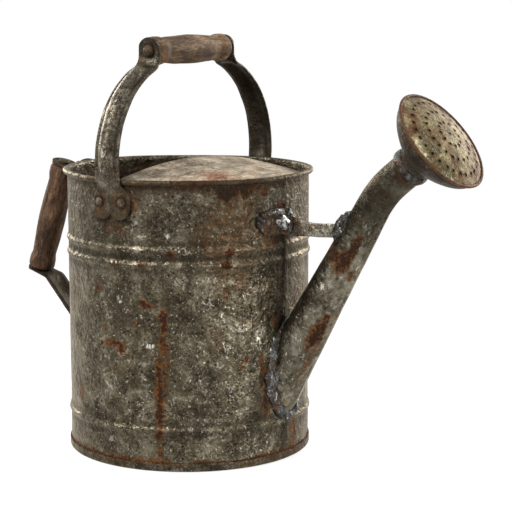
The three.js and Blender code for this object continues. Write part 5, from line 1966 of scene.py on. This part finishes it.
        # pale scrapes over the strip, partly painted glints
        scuff_and_glint = (1.0 - at_foot) * (0.3 + 0.2 * value_noise(place, 6.0, 124))
        grime_and_shade = 0.05 + 0.6 * fall(bend - 10.0, bend + 1.0, mark)
        return shell(faces[0], faces[1], False, (rust, rust), (scuff_and_glint, scuff_and_glint), (grime_and_shade, grime_and_shade + 0.2))

    def blob(self, half: Sequence[float], centre: Sequence[float], lean: float, seed: int,
             bright: float) -> Surface:
        """Builds a lump of weld.

        Args:
            half: Its half sizes.
            centre: Its middle.
            lean: Degrees that it leans toward +X.
            seed: Picks its unevenness.
            bright: Share of painted glints.

        Returns:
            The lump, pressed out of the wall and the spout.
        """
        turns = np.linspace(-math.pi / 2.0, math.pi / 2.0, self.lump_rows)
        ball = [[max(math.cos(turn), 0.0), math.sin(turn)] for turn in turns]
        surface = lathe(ball, self.lump_sides)
        points = surface.points * np.array(half)
        push = 1.0 + layered(points + 60.0 * seed, (0.22, 5.0, 131), (0.12, 2.4, 132))
        surface.points = points * push[:, None]
        matrix = Matrix.Translation(Vector(centre)) @ Matrix.Rotation(math.radians(lean), 4, "Y")
        moved = surface.moved(matrix)
        moved.points = self.clear_of_can(moved.points)
        return self.weld_wear_and_glints(moved, bright)

    def brace_welds(self) -> tuple[Surface, Surface]:
        """Builds the lumps of weld at the brace's ends.

        Returns:
            The lumps at its foot as one surface, and the lump at the spout.
        """
        half = 0.5 * self.brace_weld_width
        level = self.brace_height + 0.5 * self.brace_foot_lift
        seat = self.can_radius + self.clearance
        root_size = (0.9 * half, 0.9 * half, 0.66 * self.brace_root_width)
        at_body = self.blob(root_size, (seat + 1.0, -1.0, level), 0.0, 1, 0.3)
        for seed, lump in enumerate(self.spatter, start=2):
            turn = math.radians(lump.around)
            centre = ((seat + 2.0) * math.cos(turn), (seat + 2.0) * math.sin(turn), level + lump.rise)
            half_sizes = (lump.size, lump.size, 1.1 * lump.size)
            at_body = at_body.joined(self.blob(half_sizes, centre, 0.0, seed, lump.bright))
        distance = (self.brace_height - self.foot_height) / math.sin(self.slope_angle)
        centre = self.skin(np.array(distance), np.array(self.brace_weld_turn), 0.0)
        at_spout = self.blob((half, half, 0.5 * self.brace_weld_length), centre, 90.0 - self.slope, 1, 0.3)
        return at_body, at_spout


@dataclass
class Rose(CanSizes):
    """The sprinkling rose: bell with a rolled rim, domed face with holes, and crust of weld at the neck."""

    radius: float = 47.6
    depth: float = 28.4
    bulge: float = 17.0
    rim: float = 2.8
    seat_share: float = 0.6
    sleeve_length: float = 6.0
    face_rise: float = 10.0
    neck_weld_length: float = 7.0
    neck_weld_height: float = 2.0
    hole_radius: float = 1.22
    ring_share: float = 0.265
    ring_count: int = 3
    first_ring_holes: int = 12
    more_holes_per_ring: int = 8
    hole_seed: int = 3
    hole_sides: int = 14
    edge_sides: int = 160
    net_step: float = 1.5
    bell_rows: int = 26
    roll_rows: int = 16
    sides: int = 120
    crust_sides: int = 18

    @property
    def seat_radius(self) -> float:
        """Radius of the step that holds the face."""
        return self.radius - self.rim * self.seat_share

    @property
    def face_radius(self) -> float:
        """Radius of the face."""
        return self.seat_radius - self.clearance

    def place(self, spout: Spout) -> Matrix:
        """Gives the rose's place on the spout's end, its own Z out of the face.

        Args:
            spout: The spout that carries it.

        Returns:
            The matrix from the rose's own axes.
        """
        end_x, end_z, _, _ = spout.station(np.array(spout.length))
        x = float(end_x) + self.depth * math.cos(spout.neck_angle)
        z = float(end_z) + self.depth * math.sin(spout.neck_angle)
        return Matrix.Translation((x, 0.0, z)) @ Matrix.Rotation(math.pi / 2.0 - spout.neck_angle, 4, "Y")

    def build_bell(self) -> Surface:
        """Builds the bell with its sleeve and rolled rim.

        Returns:
            The bell about its own Z, with its wear.
        """
        sleeve = self.spout_end_radius + self.clearance + self.sheet
        mouth = self.radius - self.rim
        share = np.linspace(0.0, 1.0, self.bell_rows)[:, None]
        start, control, end = (np.array(point) for point in (
            [sleeve, -self.depth], [mouth, self.bulge - self.depth], [mouth, -self.rim]))
        bell = (1.0 - share) ** 2 * start + 2.0 * share * (1.0 - share) * control + share**2 * end
        along = 2.0 * (1.0 - share) * (control - start) + 2.0 * share * (end - control)
        along = along / np.linalg.norm(along, axis=1, keepdims=True)
        inside = bell + self.sheet * np.stack([-along[:, 1], along[:, 0]], axis=1)
        half = 0.5 * self.rim
        centre = np.array([self.radius - half, 0.2])
        roll = [(centre + half * np.array([math.cos(turn), 0.9 * math.sin(turn)])).tolist()
                for turn in np.linspace(math.radians(-105.0), math.radians(170.0), self.roll_rows)]
        sleeve_end = -self.depth - self.sleeve_length
        seat = -self.sheet - self.clearance
        profile = [
            [sleeve, sleeve_end], *bell.tolist(), *roll,
            [self.seat_radius, seat], [mouth - self.sheet, seat],
            *inside[::-1].tolist(),
            [sleeve - self.sheet, float(inside[0, 1])], [sleeve - self.sheet, sleeve_end],
        ]
        surface = lathe(profile, self.sides, closed=True)
        points = surface.points
        reach = np.hypot(points[:, 0], points[:, 1])
        wave = 0.25 * value_noise(points, 20.0, 141) / np.maximum(reach, 1.0) * smooth(20.0, 40.0, reach)
        points[:, :2] *= (1.0 + wave)[:, None]
        clouds = layered(points, (1.0, 16.0, 142), (0.5, 6.0, 143))
        at_rim = smooth(self.radius - self.rim - 1.0, self.radius - 1.0, reach)
        rust = np.maximum(0.1 + 0.2 * clouds, at_rim * (0.8 + 0.25 * clouds))
        return surface.worn(rust, 0.04 * at_rim, (0.3 + 0.2 * clouds) * (1.0 - 0.6 * at_rim))

    def hole_places(self) -> Array:
        """Places the holes on the face, a little uneven as if punched by hand.

        Returns:
            Middles of the holes.
        """
        chance = np.random.default_rng(self.hole_seed)
        places = [[0.0, 0.0]]
        for ring in range(1, self.ring_count + 1):
            count = self.first_ring_holes + self.more_holes_per_ring * (ring - 1)
            for index in range(count):
                turn = TURN * (index + 0.5 * ring) / count + chance.normal(0.0, 0.012)
                reach = self.face_radius * self.ring_share * ring + chance.normal(0.0, 0.18)
                places.append([reach * math.cos(turn), reach * math.sin(turn)])
        return np.array(places)

    def build_face(self) -> Surface:
        """Builds the domed face with its punched holes.

        Returns:
            The face about its own Z, with its wear.
        """
        holes = self.hole_places()
        rings = [(np.zeros(2), self.face_radius, self.edge_sides)]
        rings += [(hole, scale * self.hole_radius, self.hole_sides) for hole in holes for scale in (1.0, 2.0)]
        spots, edges = [], []
        for middle, radius, sides in rings:
            first = len(spots)
            turns = whole_turn(sides)
            spots += [Vector(middle + radius * np.array([math.cos(turn), math.sin(turn)])) for turn in turns]
            edges += [(first + index, first + (index + 1) % sides) for index in range(sides)]
        grid = np.arange(-self.face_radius, self.face_radius, self.net_step)
        for x, y in itertools.product(grid, grid):
            clear = np.hypot(holes[:, 0] - x, holes[:, 1] - y).min() > 2.6 * self.hole_radius
            if clear and math.hypot(x, y) < self.face_radius - 0.8:
                spots.append(Vector((x, y)))
        flat, _, faces, _, _, _ = delaunay_2d_cdt(spots, edges, [], 1, 1e-5)
        flat = np.array([[point.x, point.y] for point in flat])
        middles = np.array([flat[list(face)].mean(axis=0) for face in faces])
        nearest = np.linalg.norm(middles[:, None, :] - holes[None], axis=2).min(axis=1)
        opening = self.hole_radius * math.cos(math.pi / self.hole_sides) * 0.98
        kept = [face for face, gap in zip(faces, nearest) if gap > opening]
        return self.lifted_face(flat, kept, holes)

    def lifted_face(self, flat: Array, faces: list, holes: Array) -> Surface:
        """Lifts a flat net into the dome, gives it the sheet's thickness, its wear and a painted shade round
        its holes.

        Args:
            flat: Points of the net.
            faces: Its faces.
            holes: Middles of the holes.

        Returns:
            The closed face.
        """
        count = len(flat)
        reach = np.hypot(flat[:, 0], flat[:, 1])
        hole_gap = np.linalg.norm(flat[:, None, :] - holes[None], axis=2).min(axis=1)
        rise = self.face_rise * (1.0 - (reach / self.face_radius) ** 2)
        place = np.column_stack([flat, np.zeros(count)])
        knocks = layered(place, (0.3, 15.0, 151), (0.12, 6.0, 152))
        rise = rise + knocks * smooth(0.0, 6.0, self.face_radius - reach)
        rise = rise + 0.3 * fall(self.hole_radius, 2.2 * self.hole_radius, hole_gap)
        top = np.column_stack([flat, rise])
        points = np.concatenate([top, top - np.array([0.0, 0.0, self.sheet])])
        pairs = [(face[i], face[(i + 1) % len(face)]) for face in faces for i in range(len(face))]
        known = set(pairs)
        sides = [[b, a, a + count, b + count] for a, b in pairs if (b, a) not in known]
        under = [[index + count for index in reversed(face)] for face in faces]
        surface, used = compacted(points, [list(face) for face in faces] + under + sides)
        gap, far = np.tile(hole_gap, 2)[used], np.tile(reach, 2)[used]
        clouds = layered(surface.points, (1.0, 13.0, 153), (0.5, 5.0, 154))
        at_hole = fall(1.2 * self.hole_radius, 3.2 * self.hole_radius, gap)
        hole_edge = fall(self.hole_radius, 1.5 * self.hole_radius, gap)
        at_edge = smooth(self.face_radius - 3.0, self.face_radius, far)
        near_side = smooth(0.2, 0.95, -surface.points[:, 1] / self.face_radius)
        far_side = smooth(0.0, 0.8, surface.points[:, 1] / self.face_radius)
        outer_ring = hill(far / self.face_radius, self.ring_count * self.ring_share, 0.09)
        rust = 0.3 * at_hole + 0.48 * smooth(-0.2, 0.8, clouds)
        rust = rust + 0.5 * outer_ring * near_side * smooth(-0.6, 0.5, clouds)
        rust = rust + 0.34 * far_side + 0.3 * at_edge
        scuff_and_glint = 0.18 + 0.5 * near_side * smooth(-0.7, 0.6, -clouds) * (1.0 - outer_ring)
        green = smooth(-0.2, 0.8, value_noise(surface.points, 17.0, 155))
        # painted shade: a dark ring round each hole
        return surface.worn(rust, scuff_and_glint, 0.95 * hole_edge + 0.15 * smooth(0.2, 1.0, clouds) + 0.3 * green)

    def build_crust(self) -> Surface:
        """Builds the crust of weld behind the sleeve.

        Returns:
            The crust about the rose's own Z, with its wear.
        """
        inner = self.spout_end_radius + 0.1
        top = -self.depth - self.sleeve_length + 1.5
        turn = whole_turn(self.sides)[:, None]
        section = whole_turn(self.crust_sides)[None, :]
        line = np.stack([20.0 * np.cos(turn), 20.0 * np.sin(turn), 0.0 * turn], axis=-1)
        lump = 1.0 + layered(line, (0.32, 8.0, 161), (0.18, 3.5, 162))
        reach = inner + self.neck_weld_height * lump * (0.5 + 0.5 * np.cos(section))
        level = top - 0.5 * self.neck_weld_length * (1.0 - np.sin(section) * lump)
        points = np.stack([reach * np.cos(turn), reach * np.sin(turn), level + 0.0 * reach], axis=-1)
        points += 0.35 * value_noise(points, 2.4, 163)[..., None] * points * np.array([1.0, 1.0, 0.0]) / inner
        surface = closed_ring(points)
        rust = 0.1 + 0.35 * value_noise(surface.points, 8.0, 164)
        # painted highlight: pale glints on the crust of weld
        scuff_and_glint = 0.15 + 0.2 * value_noise(surface.points, 4.0, 166)
        return surface.worn(rust, scuff_and_glint, 0.4 + 0.3 * value_noise(surface.points, 5.0, 165))


# Studio

@dataclass(frozen=True)
class Lamp:
    """A soft round lamp: its place and width in metres, and its watts."""

    name: str
    place: Triple
    width: float
    power: float

    def build(self, aim: Triple) -> None:
        """Hangs the lamp.

        Args:
            aim: The place that it faces.
        """
        data = bpy.data.lights.new(self.name, "AREA")
        data.shape = "DISK"
        data.size = self.width
        data.energy = self.power
        lamp = bpy.data.objects.new(self.name, data)
        lamp.location = self.place
        lamp.rotation_mode = "QUATERNION"
        lamp.rotation_quaternion = (Vector(aim) - Vector(self.place)).to_track_quat("-Z", "Y")
        bpy.context.scene.collection.objects.link(lamp)


@dataclass
class Studio:
    """Pale floor, soft lamps, white background and the camera, in metres."""

    eye: Triple = (0.9106, -1.2084, 0.4185)
    forward: Triple = (-0.5614, 0.8119, -0.1602)
    lens: float = 116.9
    sensor: float = 36.0
    nearest: float = 0.01
    farthest: float = 50.0
    white: Colour = (1.0, 1.0, 1.0, 1.0)
    floor_half: float = 6.0
    floor_drop: float = 0.0006
    floor_colour: Colour = (0.4, 0.4, 0.4, 1.0)
    floor_lift: float = 0.72
    shadow_reach: tuple[float, float] = (0.5, 1.1)
    world_light: float = 0.15
    lamp_aim: Triple = (0.03, 0.0, 0.17)
    lamps: tuple[Lamp, ...] = (
        Lamp("key", (-0.6, -1.55, 1.55), 0.7, 44.0),
        Lamp("fill", (1.8, -0.65, 0.8), 1.2, 15.0),
        Lamp("left_edge", (-1.75, 0.5, 0.75), 0.9, 22.0),
        Lamp("right_edge", (0.5, 1.7, 0.75), 0.9, 30.0),
        Lamp("top", (0.1, 0.1, 2.1), 1.4, 10.0),
        Lamp("low_right", (1.7, 0.1, 0.14), 0.4, 7.0),
    )

    def build(self) -> None:
        """Builds the whole stage."""
        bpy.context.scene.view_settings.view_transform = "Standard"
        self.build_camera()
        self.build_world()
        self.build_floor()
        for lamp in self.lamps:
            lamp.build(self.lamp_aim)

    def build_camera(self) -> None:
        """Places the camera where the photograph was taken from."""
        data = bpy.data.cameras.new("camera")
        data.lens = self.lens
        data.sensor_width = self.sensor
        data.clip_start = self.nearest
        data.clip_end = self.farthest
        camera = bpy.data.objects.new("camera", data)
        camera.location = self.eye
        camera.rotation_mode = "QUATERNION"
        camera.rotation_quaternion = Vector(self.forward).to_track_quat("-Z", "Y")
        bpy.context.scene.collection.objects.link(camera)
        bpy.context.scene.camera = camera

    def seen_share(self, graph: Graph) -> Socket:
        """Finds the rays that show the background: camera, glossy and transmission rays.

        Args:
            graph: Graph of the material or world.

        Returns:
            1 for such a ray, and 0 for any other.
        """
        path = graph.add("ShaderNodeLightPath")
        seen = graph.math("ADD", path.outputs["Is Camera Ray"], path.outputs["Is Glossy Ray"])
        return graph.math("ADD", seen, path.outputs["Is Transmission Ray"])

    def build_world(self) -> None:
        """Makes a world that shows white and lights softly."""
        world = bpy.data.worlds.new("studio")
        world.use_nodes = True
        world.node_tree.nodes.clear()
        graph = Graph(world.node_tree)
        light = graph.add("ShaderNodeBackground", {"Color": self.white, "Strength": self.world_light})
        shown = graph.add("ShaderNodeBackground", {"Color": self.white, "Strength": 1.0})
        both = graph.add("ShaderNodeMixShader", {
            0: self.seen_share(graph), 1: light.outputs[0], 2: shown.outputs[0]})
        graph.add("ShaderNodeOutputWorld", {"Surface": both.outputs[0]})
        bpy.context.scene.world = world

    def build_floor(self) -> None:
        """Lays the pale floor, which shows white but for the can's shadow."""
        half = self.floor_half
        corners = [(-half, -half, 0.0), (half, -half, 0.0), (half, half, 0.0), (-half, half, 0.0)]
        mesh = bpy.data.meshes.new("floor")
        mesh.from_pydata(corners, [], [(0, 1, 2, 3)])
        floor = bpy.data.objects.new("floor", mesh)
        floor.location.z = -self.floor_drop
        bpy.context.scene.collection.objects.link(floor)
        mesh.materials.append(self.floor_material())

    def floor_material(self) -> Material:
        """Makes the floor's finish.

        Returns:
            The material.
        """
        material, graph = new_material("pale_floor")
        seen = self.seen_share(graph)
        place = graph.add("ShaderNodeTexCoord").outputs["Object"]
        away = graph.add("ShaderNodeVectorMath", {0: place}, operation="LENGTH").outputs["Value"]
        far = graph.between(away, *self.shadow_reach)
        matt = graph.add("ShaderNodeBsdfDiffuse", {"Color": self.floor_colour})
        glow = graph.add("ShaderNodeEmission", {
            "Color": self.white, "Strength": graph.times(seen, self.floor_lift)})
        near = graph.add("ShaderNodeAddShader", {0: matt.outputs[0], 1: glow.outputs[0]})
        shown = graph.add("ShaderNodeEmission", {"Color": self.white, "Strength": 1.0})
        both = graph.add("ShaderNodeMixShader", {
            0: graph.math("MULTIPLY", seen, far), 1: near.outputs[0], 2: shown.outputs[0]})
        graph.add("ShaderNodeOutputMaterial", {"Surface": both.outputs[0]})
        return material


@dataclass
class Finishes:
    """All finishes of the can, built once."""

    effects: Effects = field(default_factory=Effects)

    def __post_init__(self) -> None:
        """Builds the materials."""
        self.zinc = MetalFinish(
            "zinc", linear(35, 30, 22), linear(71, 64, 50), linear(114, 107, 90), metallic=0.8,
            smoothest=0.24, roughest=0.46, pit_depth=0.5, hollow_depth=2.7,
        ).build(self.effects)
        self.strap = MetalFinish(
            "strap_zinc", linear(30, 26, 20), linear(66, 60, 49), linear(112, 105, 90), scale=80.0,
            metallic=0.62, smoothest=0.26, roughest=0.5, fleck_share=0.35, ridge_rub_and_glint_share=0.2, hollow_depth=1.8,
        ).build(self.effects)
        self.spout = MetalFinish(
            "spout_zinc", linear(50, 45, 36), linear(85, 79, 66), linear(122, 117, 102), scale=30.0,
            metallic=0.95, smoothest=0.18, roughest=0.36, fleck_share=0.4, speck_share=0.7, hollow_depth=2.2,
        ).build(self.effects)
        self.brace = MetalFinish(
            "brace_zinc", linear(58, 53, 43), linear(124, 118, 104), linear(188, 183, 170), scale=90.0,
            run_share=0.0, metallic=0.6, rust_bright=linear(168, 100, 56),
        ).build(self.effects)
        self.cover = MetalFinish(
            "cover_zinc", linear(80, 66, 48), linear(162, 146, 124), linear(204, 190, 166), scale=42.0,
            smoothest=0.5, roughest=0.75, metallic=0.1, run_share=1.0, run_stretch=(130.0, 22.0, 130.0),
            speck_share=0.75, hollow_depth=2.0, stain=linear(140, 108, 82),
            rust_dark=linear(98, 62, 46), rust_bright=linear(150, 104, 70), grime_and_shade_colour=linear(62, 51, 41),
        ).build(self.effects)
        self.steel = MetalFinish(
            "dark_steel", linear(34, 26, 19), linear(64, 51, 38), linear(98, 84, 68), scale=140.0,
            run_share=0.0,
        ).build(self.effects)
        self.weld = MetalFinish(
            "weld", linear(27, 26, 25), linear(55, 55, 54), linear(126, 128, 127), scale=150.0, metallic=0.8,
            smoothest=0.22, roughest=0.48, run_share=0.0, pit_depth=0.8, scuff_and_glint_colour=linear(210, 209, 205),
            gloss_tint=linear(255, 255, 255),
        ).build(self.effects)
        self.rose = MetalFinish(
            "rose", linear(50, 44, 28), linear(101, 89, 62), linear(157, 143, 108), scale=80.0,
            smoothest=0.48, roughest=0.75, run_share=0.0, hollow_depth=1.2, stain=linear(104, 70, 42),
            rust_dark=linear(70, 40, 26), rust_bright=linear(126, 80, 46), scuff_and_glint_colour=linear(206, 198, 164),
            grime_and_shade_colour=linear(36, 40, 23),
        ).build(self.effects)
        # the bell's finish is much darker than the face's: partly painted shade on the back of the rose
        self.bell = MetalFinish(
            "rose_back", linear(26, 22, 16), linear(46, 40, 31), linear(78, 70, 56), scale=80.0,
            run_share=0.0, fleck_share=0.2, hollow_depth=1.2, stain=linear(66, 42, 28),
            rust_dark=linear(86, 60, 40), rust_bright=linear(148, 106, 68),
        ).build(self.effects)
        self.top_wood = WoodFinish("top_wood").build(self.effects)
        self.rear_wood = WoodFinish(
            "rear_wood", linear(35, 24, 17), linear(84, 61, 44), linear(130, 102, 76),
            warm=linear(122, 84, 54),
        ).build(self.effects)


def place_piece(piece: Object, matrix: Matrix) -> Object:
    """Sets a piece that was built about its own axes into the frame.

    Args:
        piece: The object.
        matrix: Its place, in millimetres.

    Returns:
        The same object.
    """
    placed = matrix.copy()
    placed.translation = matrix.to_translation() * MM
    piece.matrix_world = placed
    return piece


def build_can(finishes: Finishes) -> None:
    """Builds and dresses every piece of the can.

    Args:
        finishes: The built finishes.
    """
    def fixed(name: str, surface: Surface, finish: Material, slot: Slot, *nodes: str) -> None:
        """Dresses a piece that stays on the can."""
        dress(mesh_object(name, surface), finish, Body.CAN, nodes)

    body, cover, handles, spout, rose = CanBody(), SplashCover(), Handles(), Spout(), Rose()
    fixed("can_wall", body.build_wall(spout), finishes.zinc, Slot.ZINC, "body_shell")
    fixed("bottom_foot", body.build_pan(), finishes.zinc, Slot.ZINC, "bottom_pan")
    fixed("half_cover", cover.build(), finishes.cover, Slot.COVER, "splash_cover")

    fixed("bail_front", handles.bail_leg(-90.0, 0), finishes.strap, Slot.ZINC, "bail_leg_front")
    fixed("bail_back", handles.bail_leg(90.0, 1), finishes.strap, Slot.ZINC, "bail_leg_back")
    fixed("rear_strap_top", handles.rear_strap(True, 2), finishes.strap, Slot.ZINC, "rear_upper_strap")
    fixed("rear_strap_low", handles.rear_strap(False, 3), finishes.strap, Slot.ZINC, "rear_lower_strap")
    for prefix, surface in zip(("bail_rivet", "rear_rivet"), handles.rivets()):
        nodes = [f"{prefix}_{number}" for number in range(1, 5)]
        fixed(f"{prefix}s", surface, finishes.steel, Slot.STEEL, *nodes)

    grips = [
        ("top_wood", finishes.top_wood, Body.TOP_GRIP, handles.top_matrix(), "top_grip"),
        ("rear_wood", finishes.rear_wood, Body.REAR_GRIP, handles.rear_matrix(), "rear_grip"),
    ]
    for seed, (name, finish, moving, matrix, node) in enumerate(grips):
        wood = place_piece(mesh_object(name, handles.grip(seed)), matrix)
        dress(wood, finish, moving, [node])
        rod = place_piece(mesh_object(f"{name}_rod", handles.rod()), matrix)
        dress(rod, finishes.steel, Body.CAN, [f"{node}_rod"])

    fixed("spout", spout.build_tube(), finishes.spout, Slot.ZINC, "spout_tube")
    fixed("foot_weld", spout.build_weld(), finishes.weld, Slot.WELD, "spout_weld")
    fixed("brace", spout.build_brace(), finishes.brace, Slot.ZINC, "spout_brace")
    weld_at_can, weld_at_tube = spout.brace_welds()
    fixed("brace_weld_can", weld_at_can, finishes.weld, Slot.WELD, "brace_weld_body")
    fixed("brace_weld_tube", weld_at_tube, finishes.weld, Slot.WELD, "brace_weld_spout")

    on_spout = rose.place(spout)
    fixed("rose_bell", rose.build_bell().moved(on_spout), finishes.bell, Slot.ROSE, "rose_cone")
    fixed("rose_plate", rose.build_face().moved(on_spout), finishes.rose, Slot.ROSE, "rose_face")
    fixed("neck_crust", rose.build_crust().moved(on_spout), finishes.weld, Slot.WELD, "neck_weld")

    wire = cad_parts["rim_wire"]
    wire.data.materials.clear()
    wire.data.materials.append(finishes.steel)
    LOG.info("rim_wire keeps its frame mesh")


def main() -> None:
    """Builds the stage and the can."""
    logging.basicConfig(level=logging.INFO, format="%(message)s")
    Studio().build()
    build_can(Finishes())


if __name__ == "__main__":
    main()
